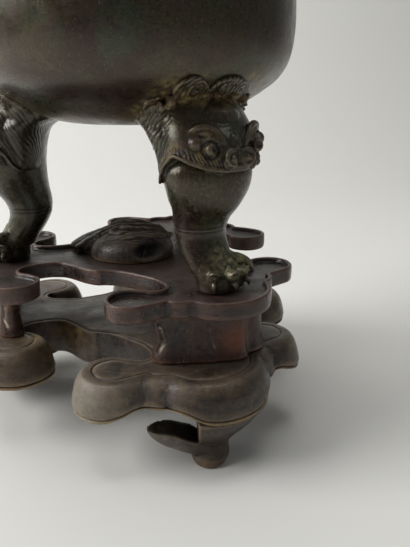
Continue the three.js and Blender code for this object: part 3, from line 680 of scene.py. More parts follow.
def make_waists():
    plan = np.array(eased(WAIST_PLAN, 0.8)[:-1])
    low, high = WAIST_BOX[0].z / MM, WAIST_BOX[1].z / MM
    flare = [(0, 1.9), (0.7, 2.6), (2, 2.5), (5, 1.6), (9, 0.8), (14, 0.15), (20, -0.25),
             (high - low - 8, -0.2), (high - low - 3, 0.3), (high - low - 0.6, 0.5), (high - low, 0.1)]
    heights = sorted({0, 0.7, *np.arange(2, high - low - 0.7, 0.9), high - low - 0.6, high - low})
    for name, degrees in HEADS.items():
        rings = []
        for h in heights:
            out = float(np.interp(h, [f[0] for f in flare], [f[1] for f in flare]))
            rings.append([(x, y, low + h) for x, y in moved(plan, out)])
        bm = carved_board(rings)
        uneven(bm, 16, 0.7, degrees)
        uneven(bm, 5, 0.25, degrees)
        bm.normal_update()
        base = Vector((0, 0, low))
        for v in bm.verts:
            chip, crack = apart(v.co - base, CHIP), apart(v.co - base, CRACK)
            v.co -= v.normal * (1.5 * near(chip, 2.2) + 0.5 * near(crack, 0.8))

        def raw(p):
            splinter, crack = apart(p - base, CHIP), apart(p - base, CRACK)
            ragged = splinter + 0.8 * noise.noise(p / 1.8)
            return max(near(ragged, 1.1, 4), 0.8 * near(crack, 0.55))
        masks = {
            "raw": raw,
            # A painted highlight: an orange patch on the front corner of each block.
            "painted_orange_highlight": lambda p: 0.75 * near((Vector((120.5, 3, low + 15)) - p).length, 11),
            "gold": lambda p: clamped(1.9 * near(p.z - high, 5) * (0.35 + 1.3 * noise.noise(p / 4))),
        }
        values = {key: [rule(v.co) for v in bm.verts] for key, rule in masks.items()}
        if name == "left":
            bmesh.ops.scale(bm, vec=(1, -1, 1), verts=bm.verts)
            bmesh.ops.translate(bm, vec=(LEFT_WAIST_OUT, 0, 0), verts=bm.verts)
            bmesh.ops.recalc_face_normals(bm, faces=bm.faces)
        turn_mesh(bm, degrees)
        block = settle(bm, "waist_block_" + name, WAIST_WOOD, "stand",
                       "stand_waist_" + name, 50)
        for key, mask in values.items():
            store(block, key, mask)


make_waists()

# Upper board
# A thinner board of the same outline, waxed dark red-brown, with a low raised edge left standing
# round its sunk field. The edge is worn to a fine pale line.
PLATE_TOP = PLATE_BOX[1].z / MM
FIELD_DROP = 3.5
FIELD = PLATE_TOP - FIELD_DROP
PLATE_WOOD = carved_wood("waxed_red_brown_hardwood", colour(16, 11, 9), colour(50, 33, 28),
                         colour(108, 80, 68), colour(96, 84, 76), 0.33, 0.3, (0, 0, 0.3), 0.026, 0.24,
                         [("ochre", colour(122, 96, 66), 0.2), ("red", colour(112, 66, 56), 0.0)])
# Millimetres outwards, and height: from the underside up the side, over the edge to the field.
PLATE_SIDE = [(out, PLATE_BOTTOM + up) for out, up in
              ((-1.6, 0), (-0.8, 0.15), (-0.2, 0.7), (0.1, 1.6), (0.3, 4), (0.4, 7), (0.35, 9.5))]
PLATE_SIDE += [(out, PLATE_TOP - down) for out, down in
               ((0.2, 1.0), (-0.05, 0.45), (-0.45, 0.1), (-0.9, 0), (-1.7, 0.1), (-2.3, 0.35),
                (-2.7, 0.9), (-3.0, 2.0))]
PLATE_SIDE += [(-3.3, FIELD + 0.4), (-3.9, FIELD), (-5.0, FIELD - 0.05), (-6, FIELD)]


def make_plate():
    plan, _ = cloud_plan()
    bm = carved_board([[(x, y, z) for x, y in moved(plan, out)] for out, z in PLATE_SIDE])
    uneven(bm, 24, 0.35, 21)
    uneven(bm, 7, 0.14, 4)
    plate = settle(bm, "upper_board", PLATE_WOOD, "stand", "stand_plate", 45)
    gold_wall = Vector((22, -42, PLATE_TOP - 8))
    paint(plate, "ochre", lambda p: clamped(1.2 * near((p - gold_wall).length, 15)
                                            * (0.8 + noise.noise(p / 4))))
    paint(plate, "red", lambda p: 0.8 * near((p - Vector((40, -73, FIELD))).length, 13))


make_plate()

# Boss
# A carving pegged on the middle of the upper board: a smooth bulging side with a dented hollow,
# under a crumpled leaf that is folded over the top and runs down to the left.
BOSS_X, BOSS_Y = -5, 8
BOSS_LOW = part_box("stand_boss")[0].z / MM
# Folds over the top: across, height, how much they bow, thickness.
FOLDS = [(-14, 19.6, 5, 2.5), (-9, 22.6, 3.5, 2.2), (-3.5, 23.4, 1.5, 2.6), (2, 24.6, -1, 2.1),
         (8, 23.6, -3.5, 2.6), (14, 21.6, -5, 2.4)]
# The folded edge, the ridge in the dent, and the two points of the flank, each with its radii
# and its number of sides.
BOSS_STRANDS = [
    ([(-20, -17, 14), (-9, -20.4, 17.6), (4, -21, 18), (16, -17.5, 17), (26, -9.5, 15.4), (32, 0, 14.4),
      (33, 9, 12)], [1.2, 2.2, 2.6, 2.6, 2.6, 2.4, 1.4], 12),
    ([(1.5, -27.4, 14), (2.6, -29.6, 10.5), (4.4, -30.4, 6.5), (7.6, -30, 4)], [0.8, 1.4, 1.3, 0.7], 10),
    ([(-14, -2, 16), (-24, -2, 12.8), (-34, 2, 8), (-46, 9, 3.5)], [7, 7.5, 6, 2.5], 14),
    ([(-12, 8, 15), (-26, 10, 11), (-40, 15, 6.5), (-50, 21, 2.5)], [8, 8, 6, 2.5], 14),
]


def make_boss():
    bm = bmesh.new()
    low = BOSS_LOW
    sections = [(0, 33.4), (0.6, 34), (4, 34.4), (9, 33.2), (13, 30.8), (16.5, 26.8), (19, 20.5),
                (20.5, 12)]
    stacked(bm, [oval(0, 0, r, r, low + h) for h, r in eased(sections, 1.2)])
    bead(bm, (5, -1, low + 18.6), (25, 22, 4.2), (0, 6, -6))
    for y, top, bow, thick in FOLDS:
        roll(bm, [(-23, y + bow * 1.7, low + top - 5.5), (-13, y + bow * 0.4, low + top - 0.4),
                  (-2, y - bow * 0.3, low + top + 0.2), (10, y + bow * 0.2, low + top - 0.8),
                  (22, y + bow * 1.2, low + top - 3.6), (30, y * 0.6 + 1, low + top * 0.45 + 3.4)],
             [1.2, thick, thick * 1.15, thick, thick * 0.9, 1.6], 12)
    for strand, radii, sides in BOSS_STRANDS:
        roll(bm, [(x, y, low + z) for x, y, z in strand], radii, sides)
    skin = fused(bm, WOOD_VOXEL)
    for v in skin.verts:
        x, y, z = v.co.x, v.co.y, v.co.z - low
        if y < -8 and z < 17.5:
            dent = near(math.hypot((x - 13) / 10, (z - 9.5) / 6), 1, 4)
            ridge = math.exp(-(((x - 10.5 - 0.25 * (z - 9)) / 1.3) ** 2) - (((z - 8) / 3.6) ** 2))
            v.co += v.normal * (2.4 * ridge - 7 * dent)
        crumple = clamped((z - 13.5) / 3) if x > -26 else 0.0
        fold = noise.noise(Vector((x / 15 + y / 30, y / 3.2, z / 5)))
        v.co += v.normal * (2.2 * crumple * (abs(fold) - 0.25))
        v.co.z = max(v.co.z, low)
    uneven(skin, 12, 0.5, 2)
    for v in skin.verts:
        v.co.z = max(v.co.z, low)
    bmesh.ops.translate(skin, vec=(BOSS_X, BOSS_Y, 0), verts=skin.verts)
    boss = settle(skin, "leaf_boss", BASE_WOOD, "stand", "stand_boss", 60)
    dark_dent = Vector((BOSS_X + 13, BOSS_Y - 33, low + 9.5))

    def shadow(p):
        q = p - dark_dent
        lit = math.exp(-(((q.x + 2.5 - 0.25 * q.z) / 1.1) ** 2) - (((q.z + 1.5) / 3) ** 2))
        return max(0.0, near(math.hypot(q.x / 12, q.z / 6.6), 1, 4) - lit) if q.y < 14 else 0.0
    paint(boss, "shadow", shadow)
    paint(boss, "ochre", lambda p: 0.9 * near(p.z - low, 1.3) * (0.7 + 0.6 * noise.noise(p / 5)))


make_boss()

# Pegs
# Plain turned pegs hold the boards, blocks, feet and boss together. They sit in blind holes, so
# nothing of them shows.
PEG_WOOD = carved_wood("plain_peg_wood", colour(120, 92, 60), colour(150, 118, 80), colour(176, 146, 104),
                       colour(150, 140, 120), 0.0, 0.6)
for name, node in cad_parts.items():
    if "peg" in name:
        node.data.materials.clear()
        node.data.materials.append(PEG_WOOD)

# Vessel
# A squat round body cast in bronze about 5 mm thick, with a short waisted neck and an everted
# rim. The patina is a smooth dark olive brown with purple-brown and greenish clouds, and dirt
# the colour of old gold has settled underneath, where the legs join.
BODY_LOW = BOWL_BOX[0].z / MM
RIM = BOWL_BOX[1].z / MM
LEGS = {"front": -60, "rear": 56, "left": 175}


def bronze_patina(name):
    """Old cast bronze: clouds of brown, olive and purple patina, rubbed high spots, dirt in hollows."""
    roughness = 0.31
    material, w, shader = fresh_material(name, roughness)
    place = w.add("TexCoord").outputs["Object"]
    wear = place_group(w, WEAR, Place=place, Reach=0.03, Break=0.5)
    clouds = w.spread(w.noise(place, 10.0, 6.0, 0.6, 0.8), 0.42, 0.58)
    mottles = w.spread(w.noise(place, 62.0, 6.0, 0.7, 0.4), 0.45, 0.62)
    fine = w.noise(place, 420.0, 5.0, 0.7)
    tone = w.blend(clouds, colour(46, 31, 21), colour(72, 68, 42))
    tone = w.blend(w.times(mottles, 0.6), tone, colour(60, 40, 33))
    green = w.spread(w.noise(place, 30.0, 6.0, 0.66), 0.52, 0.64, 0.0, 0.75)
    tone = w.blend(green, tone, colour(56, 68, 46))
    tone = w.blend(w.spread(fine, 0.46, 0.66, 0.0, 0.75), tone, colour(30, 25, 20))
    specks = w.spread(w.noise(place, 800.0, 2.0, 0.6), 0.65, 0.73, 0.0, 0.5)
    tone = w.blend(specks, tone, colour(132, 124, 98))
    tone = w.blend(w.times(wear.outputs["Edges"], 0.55), tone, colour(120, 108, 92))
    tone = w.blend(w.times(wear.outputs["Hollows"], 0.85), tone, colour(24, 17, 12))
    crumbs = w.spread(w.noise(place, 240.0, 6.0, 0.75), 0.36, 0.56)
    soil = w.maths("MULTIPLY", w.mask("dirt"), crumbs, True)
    dirt = w.blend(w.spread(w.noise(place, 120.0, 4.0), 0.4, 0.6), colour(70, 44, 22), colour(136, 116, 68))
    tone = w.blend(soil, tone, dirt)
    moss = w.maths("MULTIPLY", w.mask("lichen"), crumbs, True)
    tone = w.blend(moss, tone, colour(132, 128, 88))
    # Dark in the engraved lines, and painted shade over the whole left leg.
    tone = w.blend(w.times(w.mask("line"), 0.8), tone, colour(18, 12, 9))
    pits = w.maths("ADD", w.times(fine, 0.5), w.times(w.noise(place, 1300.0, 3.0), 0.35))
    relief = w.maths("ADD", pits, w.maths("ADD", soil, moss))
    bump = w.add("Bump", None, Height=relief, Strength=0.45, Distance=0.0006)
    grime = w.maths("MAXIMUM", soil, moss)
    rough = w.spread(mottles, 0.0, 1.0, roughness - 0.06, roughness + 0.12)
    rough = w.maths("ADD", rough, w.times(grime, 0.35))
    w.set(shader, "Base Color", tone)
    w.set(shader, "Metallic", w.spread(grime, 0.0, 1.0, 0.5, 0.0))
    w.set(shader, "Roughness", rough)
    w.set(shader, "Normal", bump.outputs[0])
    shader.inputs["Coat Weight"].default_value = 0.3
    shader.inputs["Coat Roughness"].default_value = 0.22
    return material


BRONZE = bronze_patina("olive_brown_bronze")
OUTSIDE = [(30, 0.3), (55, 1.9), (72, 7), (88.5, 17), (98, 23), (108.5, 31.3), (115.7, 42), (119.4, 56),
           (120.5, 74), (119, 93), (113.5, 111.5), (102, 126.5), (89, 136), (84.6, 144), (84.6, 153),
           (88.5, 161.5), (96, 167)]
INSIDE = [(80.6, 159), (79.2, 149), (81.4, 137), (92, 127.5), (106, 114.5), (114, 96), (115.5, 74),
          (113.8, 53), (107.5, 38.5), (95.2, 27.6), (84, 20.5), (69.8, 11.9), (54, 6.9), (32, 5)]


def make_bowl():
    lift = BODY_LOW
    rim = RIM - lift
    outer = eased([(0, 0), *OUTSIDE], 3.5)
    lip = [(100, rim - 3.9), (100.9, rim - 2.8), (101, rim - 1), (100.4, rim - 0.2), (99.6, rim), (89, rim),
           (87.9, rim - 0.5)]
    inner = eased([lip[-1], *INSIDE, (0, 5)], 4.5)[1:]
    bm = bmesh.new()
    chain = [bm.verts.new((p[0], 0, lift + p[1])) for p in [*outer, *lip, *inner]]
    chain[0].co.x = chain[-1].co.x = 0
    edges = [bm.edges.new(pair) for pair in zip(chain, chain[1:])]
    bmesh.ops.spin(bm, geom=[*chain, *edges], cent=(0, 0, 0), axis=(0, 0, 1), angle=math.tau, steps=192,
                   use_merge=True)
    bmesh.ops.remove_doubles(bm, verts=bm.verts, dist=0.02)
    bmesh.ops.recalc_face_normals(bm, faces=bm.faces)
    uneven(bm, 60, 0.35, 5)
    bowl = settle(bm, "bronze_vessel", BRONZE, "censer", "censer_bowl", 40)

    def soil(p):
        under = near(p.z - lift - 4, 9) * (0.5 + 0.5 * noise.noise(p / 16))
        ring = 0.0
        for degrees in LEGS.values():
            u, v = polar(degrees, 86, 0)
            ring = max(ring, near(Vector((p.x - u, p.y - v)).length - 36, 10))
        fade = clamped((lift + 42 - p.z) / 14)
        return clamped(0.5 * under + 1.3 * ring * fade * (0.6 + 1.2 * noise.noise(p / 8)))
    paint(bowl, "dirt", soil)


make_bowl()

# Legs
# Three cast legs: a calf comes out of a lion mask and narrows to a paw with clawed toes. The jaw
# ends in a thin raised flap round the calf, and two fans of hair lie on the vessel's side. Dirt
# fills the hair lines and the top of the paw. The left leg is painted darker all over, as painted
# shade.
LIFT = PLATE_TOP
PAW_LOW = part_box("leg_front")[0].z / MM
# Height over the board's raised edge, distance from the axis, half depth, half width.
CALF = [(8, 97.5, 13.6, 16.2), (14, 94.1, 14.2, 17.3), (24, 88.2, 15.2, 18.7), (34, 84.2, 16.2, 18.8),
        (44, 85.2, 18.2, 20.5), (54, 90, 21.4, 24.7), (64, 92.6, 23, 30.2), (72, 93.2, 23.5, 32.8),
        (80, 93, 23.4, 32.8), (88, 92, 21, 29)]
THIGH = [(72, 83.2, 12.6, 30.4), (78, 83.3, 13.7, 32.4), (84, 83.4, 14.6, 33), (90, 83.2, 15.8, 34.2),
         (96, 82.8, 17.3, 36.4), (100, 82, 18.8, 38), (103, 80.4, 20.8, 38.4), (105.5, 78, 23.6, 38.2),
         (108, 74.3, 28.2, 37.8), (110, 72, 31.5, 38.2), (113, 70, 34, 38.6), (118, 70, 33, 38),
         (126, 70, 26, 36)]
MASK = [(70, 91.4, 26.8, 34.4), (79, 91.6, 27.8, 35.0), (84, 91.8, 28.4, 34.9), (88, 92, 28.6, 34.6),
        (95, 91.5, 27.2, 34.4), (101, 90.5, 26.3, 34), (108, 88.5, 24.5, 33), (114, 85.5, 22.7, 31.5),
        (120, 84, 20.2, 29), (126, 82, 18, 27), (131, 81, 17, 26)]
# Height, distance from the axis: the back of the leg, inside which the mask's skin ends.
BACK = [(60, 69.4), (76, 69.7), (85, 68.6), (93, 66.5), (99, 64.1), (103, 61), (105, 55), (110, 50)]
# The flap's edge: degrees round the leg from the front, and height.
FLAP = [(0, 81), (12, 81), (33, 83.2), (51, 86.4), (64, 89.2), (73, 90.6), (79, 89.6), (85, 86.5),
        (90, 83.2), (97, 78.4), (107, 73.4), (116, 70.8), (122, 72.4), (130, 78), (145, 83), (180, 85)]
# Place, heading, how much higher, and size of each toe.
TOES = [(107.6, -6.4, -38, 0, 1), (112.8, 2.6, -4, 0.2, 1.05), (109.8, 12, 34, 0.4, 1),
        (102, 15.6, 78, 0, 0.9)]
LEG_VOXEL = 0.75
# How deep in the vessel's wall a leg's skin ends.
SKIN_END = 3.5
ANKLE_RINGS = (36.8, 39.2)
# The face looks a little to one side: its mirror plane lies this far across from the leg's own.
FACE = 3.2
# Across, height: the outline of each lock of the mane from the middle of the forehead.
LEFT_LOCK = [(-1.6, 125.6), (-8, 129), (-14, 133.6), (-19.6, 136.8), (-25, 137.4), (-29.6, 135),
             (-31, 130.6), (-27.6, 126.4), (-22, 125.2), (-17.6, 126.8)]
RIGHT_LOCK = [(-1.6, 125.6), (-5.6, 129.6), (-5.4, 134), (0.6, 136.4), (8, 136.8), (16, 135), (23.6, 131.6),
              (27.6, 127), (24, 123.6), (18, 123.8)]
# Small tufts at each end of the mane: place and size.
TUFTS = [(93.6, 29.4, 122.8, 4.2), (88, 32.4, 119.4, 4.2), (82, 30.4, 116.4, 4.2), (77.6, 27.4, 112.8, 3.8)]
# Across, height: the middle of each lock's curl.
LEFT_CURL, RIGHT_CURL = (-18.2, 130.2), (16.4, 129.8)


def at_height(rows, z):
    """The middle and half sizes of a section at a height."""
    heights = [row[0] for row in rows]
    return [float(np.interp(z, heights, [row[k] for row in rows])) for k in (1, 2, 3)]


def on_body(v, z, proud=0.0):
    """A point of the vessel's outside, by how far it lies across from a leg and its height."""
    r = float(np.interp(LIFT + z - BODY_LOW, [p[1] for p in OUTSIDE], [p[0] for p in OUTSIDE])) + proud
    return (math.sqrt(max(1.0, r * r - v * v)), v, LIFT + z)


def on_mask(degrees, z, proud=0.0):
    """A point of the mask's surface, by its direction round the leg and its height."""
    middle, deep, wide = at_height(MASK, z)
    c, s = math.cos(math.radians(degrees)), math.sin(math.radians(degrees))
    if c < 0:
        deep = min(deep, middle - float(np.interp(z, [q[0] for q in BACK], [q[1] for q in BACK])) - 2)
    return (middle + (deep + proud) * math.copysign(abs(c) ** 0.91, c),
            (wide + proud) * math.copysign(abs(s) ** 0.91, s), LIFT + z)


def flap_edge(degrees):
    return float(np.interp(abs((degrees + 180) % 360 - 180), [f[0] for f in FLAP], [f[1] for f in FLAP]))


def mask_lumps(bm):
    around = [360 * i / 96 for i in range(96)]
    rings = []
    for share in np.linspace(0, 1, 18):
        rings.append([on_mask(a, flap_edge(a) + (131 - flap_edge(a)) * share) for a in around])
    stacked(bm, rings)
    edge = [on_mask(a, flap_edge(a) + 0.5, 0.5) for a in range(-136, 137, 4)]
    roll(bm, edge, [0.9, 1.3, 1.3, 1.2, 1.3, 1.3, 0.9], 10)
    bead(bm, (97.5, 1, LIFT + 111), (14.5, 19, 13), (0, -14, 0))
    bead(bm, (107, 1, LIFT + 103), (8, 12, 9), (0, -20, 0))
    bead(bm, (111, FACE, LIFT + 90), (9.5, 15, 8))
    bead(bm, (115, FACE, LIFT + 98.5), (4.4, 6, 6), (0, -20, 0))
    bead(bm, (116.5, FACE - 0.5, LIFT + 93.4), (4.6, 4, 4.6))
    for s in (-1, 1):
        def face(u, side, z):
            return (u, FACE + side * s, LIFT + z)

        def crease(points, radii, sides=10):
            roll(bm, [face(*p) for p in points], radii, sides)
        bead(bm, face(113.8, 19.3, 95), (5.9, 5.5, 5.3))
        crease([(108.6, 26.2, 93), (111.6, 24.6, 98.4), (115, 19.4, 101), (117, 13.6, 98.6)],
               [0.8, 1.6, 1.7, 1.2])
        crease([(108.6, 26.2, 93), (111.4, 23.8, 89.4), (115.2, 17.8, 88.8), (117.2, 12.8, 92)],
               [0.8, 1.4, 1.5, 0.9])
        bead(bm, face(109, 25.8, 98.6), (4.6, 4.8, 4.8))
        crease([(105.4, 28.8, 104.4), (108.4, 25, 107.8), (111.2, 19.4, 108.6), (114, 14.4, 106.2),
                (116.2, 10.6, 101.6), (117.2, 8.2, 97)], [1.2, 2.1, 2.3, 2.1, 1.9, 1.3], 12)
        crease([(109, 26.2, 104.4), (112.2, 20.6, 105), (115.4, 14, 102.2), (117, 10.6, 98)],
               [0.8, 1.5, 1.5, 1.0])
        bead(bm, face(118.2, 5.2, 89.4), (5, 4.8, 5.6))
        roll(bm, [face(122.2 - abs(a - 2.2) * 0.5, 6.2 + 4.6 * math.sin(a), 89.6 + 4.8 * math.cos(a))
                  for a in np.linspace(-1.2, 4.4, 14)], [0.9, 1.7, 1.8, 1.6, 0.8], 9, step=0.9)
        bead(bm, face(123.2, 6.2, 89.2), (1.9, 2, 2), detail=2)
        bead(bm, face(117.4, 12.4, 83), (3.6, 4, 3.2), detail=2)
        bead(bm, face(114.6, 19, 84.6), (3.6, 4, 3.2), detail=2)
        crease([(112.6, 24.8, 87.6), (116.2, 19.4, 85.8), (119, 13.4, 86.4), (120.6, 8, 84.4),
                (120.8, 0, 83.6)], [0.8, 1.3, 1.5, 1.5, 1.3])


def mane_lumps(bm):
    for lock, eye in ((LEFT_LOCK, LEFT_CURL), (RIGHT_LOCK, RIGHT_CURL)):
        middle = [((v + eye[0]) / 2, (z + eye[1]) / 2) for v, z in lock]
        roll(bm, [on_body(v, z, -3.4) for v, z in middle], [4, 5.6, 5.6, 5.6, 4], 12)
        bead(bm, on_body(eye[0], eye[1], 2.6), (2.3, 2.4, 2.3), detail=2)
        for share in (1.0, 0.72, 0.44):
            proud = 2.2 + 0.8 * (1 - share)
            strand = [on_body(eye[0] + (v - eye[0]) * share, eye[1] + (z - eye[1]) * share, proud)
                      for v, z in lock]
            roll(bm, strand, [0.9, 1.6, 1.75, 1.75, 1.75, 1.6, 0.9], 10)
    for s in (-1, 1):
        roll(bm, [on_body(38 * s, 118, 0.6), on_body(41 * s, 123.5, 1.2), on_body(36 * s, 126, 1.4)],
             [1.0, 1.9, 1.0], 9)
        roll(bm, [on_body(31 * s, 114, 1.4), on_body(35.4 * s, 119.4, 2), on_body(31 * s, 122.6, 2)],
             [1.2, 2.2, 1.0], 9)
        for u, v, z, r in TUFTS:
            bead(bm, (u, v * s, LIFT + z), (r * 0.75, r * 0.75, r * 0.75), detail=2)
            ring = [(u + r * 0.5 * math.cos(a), (v + 1.4 + r * 0.3 * abs(math.cos(a / 2))) * s,
                     LIFT + z + r * 0.9 * math.sin(a)) for a in np.linspace(0.2, 5.4, 9)]
            roll(bm, ring, [0.8, 1.4, 1.5, 1.4, 0.9], 8, step=1.0)


def paw_lumps(bm):
    rings = [(PAW_LOW + 0.1, 102.6, 13.4, 14.6, 2.2), (PAW_LOW + 1.2, 102.6, 14.4, 15.6, 2.2),
             (LIFT, 102.6, 14.6, 16, 2.2), (LIFT + 5, 101.8, 14.2, 16.2, 2.1),
             (LIFT + 10, 99.8, 13.6, 16.2, 2), (LIFT + 15, 97, 13.2, 16, 2),
             (LIFT + 20, 93.6, 13.2, 16, 2), (LIFT + 25, 90.4, 13.4, 16.4, 2)]
    stacked(bm, [oval(u, 0.6, a, b, z, n) for z, u, a, b, n in rings])
    for u, v, heading, raised, size in TOES:
        c, s = math.cos(math.radians(heading)), math.sin(math.radians(heading))

        def toe(out, aside, z):
            return (u + out * c - aside * s, v + out * s + aside * c, LIFT + z)
        roll(bm, [toe(-9, 0, 15 + raised), toe(-4, 0, 12.6 + raised), toe(-0.4, 0, 8 + raised),
                  toe(1.2, 0, 4), toe(1.2, 0, -1.4)], [2.0, 3.2, 4.4 * size, 4.6 * size, 3.8], 14)
        bead(bm, toe(3.8, 0, 8.8 + raised), (4.6 * size, 4.7 * size, 4.6 * size), (0, 0, heading))
        hook = [toe(6.4 + 1.6 * math.cos(a), 3.1 * math.sin(a), 9.4 + raised + 3.1 * math.cos(a))
                for a in np.linspace(-2.7, 2.7, 14)]
        roll(bm, hook, [0.5, 1.0, 1.1, 1.0, 0.5], 8, step=0.8)
        roll(bm, [toe(4.4, 0, 4.6), toe(7.8, 0, 3.6), toe(8.8, 0.4, 1.4), toe(8.2, 0.6, -0.8)],
             [2.4, 2.0, 1.4, 0.6], 10)
    roll(bm, [(101, 10, LIFT + 18), (106.4, 17.6, LIFT + 16), (109.6, 23, LIFT + 12.4),
              (110.4, 26, LIFT + 7.4)], [3.8, 4.4, 3.6, 1.1], 12)
    for u, v, z, r in ((104, 2, 17.4, 3.6), (107, 8, 16.2, 3.4), (101, 13, 19, 3.6), (98, 6, 21.4, 3.8)):
        bead(bm, (u, v, LIFT + z), (r, r, r * 0.8), detail=2)


def engraved(p, u, v, z):
    """How far the skin of a leg lies below its smooth shape: hair lines, ankle rings, pupils."""
    depth, s, side = 0.0, abs(v), abs(v - FACE)
    around = math.degrees(math.atan2(s, u - 91))
    if 76 < z < 118 and around > 84 and s > 8:
        lean = math.radians(around) * 30 + 0.5 * z + noise.noise(p / 9) * 2.5
        depth += 0.3 * max(0.0, math.sin(math.tau * lean / 3.1))
    edge = flap_edge(around)
    top = edge + 6.6
    if edge + 1.6 < z < top and around < 98 and side > 11:
        way = math.radians(around) * 34 - 0.55 * z + noise.noise(p / 5) * 1.2
        depth += 0.7 * (0.5 + 0.5 * math.sin(math.tau * way / 2.5)) * min(1.0, (top - z) / 1.5)
    if z > 124 and u > 80:
        eye_v, eye_z = LEFT_CURL if v < -2 else RIGHT_CURL
        away = math.hypot(v - eye_v, z - eye_z)
        depth += 0.55 * max(0.0, math.sin(math.tau * away / 2.9)) ** 2 * min(1, (z - 124) / 2)
    for ring in ANKLE_RINGS:
        depth += 0.4 * near(z - ring, 0.5) if u > 70 else 0.0
    if u > 108:
        depth += 1.5 * near(math.hypot(side - 18.4, z - 95.4), 1.7)
        depth += 1.1 * near(math.hypot(side - 19.3, z - 95) - 5.4, 0.8)
    return depth


def buried(p):
    """Whether a point of a leg lies well inside the vessel's wall."""
    r, z = math.hypot(p.x, p.y), p.z - BODY_LOW
    if not SKIN_END < z < 74:
        return False
    return r < float(np.interp(z, [q[1] for q in OUTSIDE], [q[0] for q in OUTSIDE])) - SKIN_END


def make_legs():
    bm = bmesh.new()
    for rows in (CALF, THIGH):
        stacked(bm, [oval(u, 0, a, b, LIFT + z) for z, u, a, b in eased(rows, 2)])
    mask_lumps(bm)
    mane_lumps(bm)
    paw_lumps(bm)
    leg = fused(bm, LEG_VOXEL)
    for v in leg.verts:
        v.co -= v.normal * engraved(v.co, v.co.x, v.co.y, v.co.z - LIFT)
        v.co.z = max(v.co.z, PAW_LOW)
    inside = [v for v in leg.verts if buried(v.co)]
    bmesh.ops.delete(leg, geom=inside, context="VERTS")
    leg.normal_update()
    for name, degrees in LEGS.items():
        piece = turned(leg, degrees)
        made = settle(piece, "lion_leg_" + name, BRONZE, "censer", "leg_" + name, 60)
        back = Matrix.Rotation(math.radians(-degrees), 3, "Z")

        def soil(p):
            q = back @ p
            u, s, z = q.x, abs(q.y), q.z - LIFT
            around = math.degrees(math.atan2(s, u - 91))
            band = near(z - flap_edge(around) - 4, 4) * (1 if s > 10 and around < 100 else 0.2)
            eyes = 0.7 * near((q - Vector((113, 22.5 if q.y > 0 else -16, LIFT + 98))).length, 9)
            mane = 0.9 * near(z - 124, 4) + 0.45 * near(z - 132, 6)
            thigh = 0.7 * near(z - 119, 7) * (1 if around > 84 else 0.3)
            return clamped(max(band, eyes, mane, thigh) * (0.75 + 0.8 * noise.noise(q / 6)))

        def lichen(p):
            q = back @ p
            z = q.z - LIFT
            top = near((q - Vector((107, 8, LIFT + 14))).length, 13)
            calf = 0.2 * near(z - 62, 26) + 0.25 * near(z - 10, 5)
            return clamped(1.7 * top * (0.7 + 1.4 * noise.noise(q / 3))
                           + calf * max(0.0, 2.2 * noise.noise(q / 2.2) + 0.5 * noise.noise(q / 9)))

        def line(p):
            """Dark in the engraved lines, and painted shade, to a lesser degree, all over the left leg."""
            q = back @ p
            return min(1.0, 0.6 * (name == "left") + 2.2 * engraved(q, q.x, q.y, q.z - LIFT))
        paint(made, "dirt", soil)
        paint(made, "lichen", lichen)
        paint(made, "line", line)
    leg.free()


make_legs()

# Handles and pins
# Two upright loops with softened corners stand on the rim, and their thinner ends go down into
# it. Three pins with tapered heads hold the legs from inside the vessel.
HANDLE_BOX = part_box("handle_rear")
HANDLE_W = (HANDLE_BOX[1].x - HANDLE_BOX[0].x) / MM
HANDLE_T = (HANDLE_BOX[1].y - HANDLE_BOX[0].y) / MM
HANDLE_TOP = HANDLE_BOX[1].z / MM
HANDLE_R = ((HANDLE_BOX[0].y + HANDLE_BOX[1].y) / 2 - AXIS.y) / MM


def make_handles():
    half = HANDLE_W / 2 - HANDLE_T / 2
    arch = HANDLE_TOP - HANDLE_T / 2 - half
    path = [(-half, RIM - 6), (-half, RIM + 0.5)]
    path += [(-half, RIM + (arch - RIM) * k / 6) for k in range(1, 6)]
    path += [(-half * math.cos(math.pi * k / 24), arch + half * math.sin(math.pi * k / 24))
             for k in range(25)]
    path += [(half, z) for _, z in path[:7]][::-1]
    for name, sign in (("front", -1), ("rear", 1)):
        rings = []
        for k, (x, z) in enumerate(path):
            before, after = path[max(0, k - 1)], path[min(len(path) - 1, k + 1)]
            way = Vector((after[0] - before[0], 0, after[1] - before[1])).normalized()
            across = Vector((-way.z, 0, way.x))
            thick = HANDLE_T / 2 * (0.55 if z < RIM else 1)
            places = []
            for j in range(24):
                a = math.tau * j / 24
                c, s = math.cos(a), math.sin(a)
                c, s = math.copysign(abs(c) ** 0.55, c), math.copysign(abs(s) ** 0.55, s)
                middle = Vector((x, sign * HANDLE_R, z))
                places.append(middle + across * (thick * c) + Vector((0, thick * s, 0)))
            rings.append(places)
        bm = bmesh.new()
        stacked(bm, rings)
        bmesh.ops.recalc_face_normals(bm, faces=bm.faces)
        settle(bm, "rim_handle_" + name, BRONZE, "censer", "handle_" + name, 50)


make_handles()
for name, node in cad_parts.items():
    if name.startswith("leg_pin"):
        node.data.materials.clear()
        node.data.materials.append(BRONZE)

# Table, light and camera
# A pale grey sweep stands for the table and wall. One broad soft light comes from the left and
# above, so the right side falls into shade. The camera looks down a little from close by.
SWEEP_FRONT, SWEEP_SIDE, SWEEP_UP = 3.0, 3.2, 3.0
SWEEP_BEND_AT, SWEEP_BEND = 0.75, 0.7


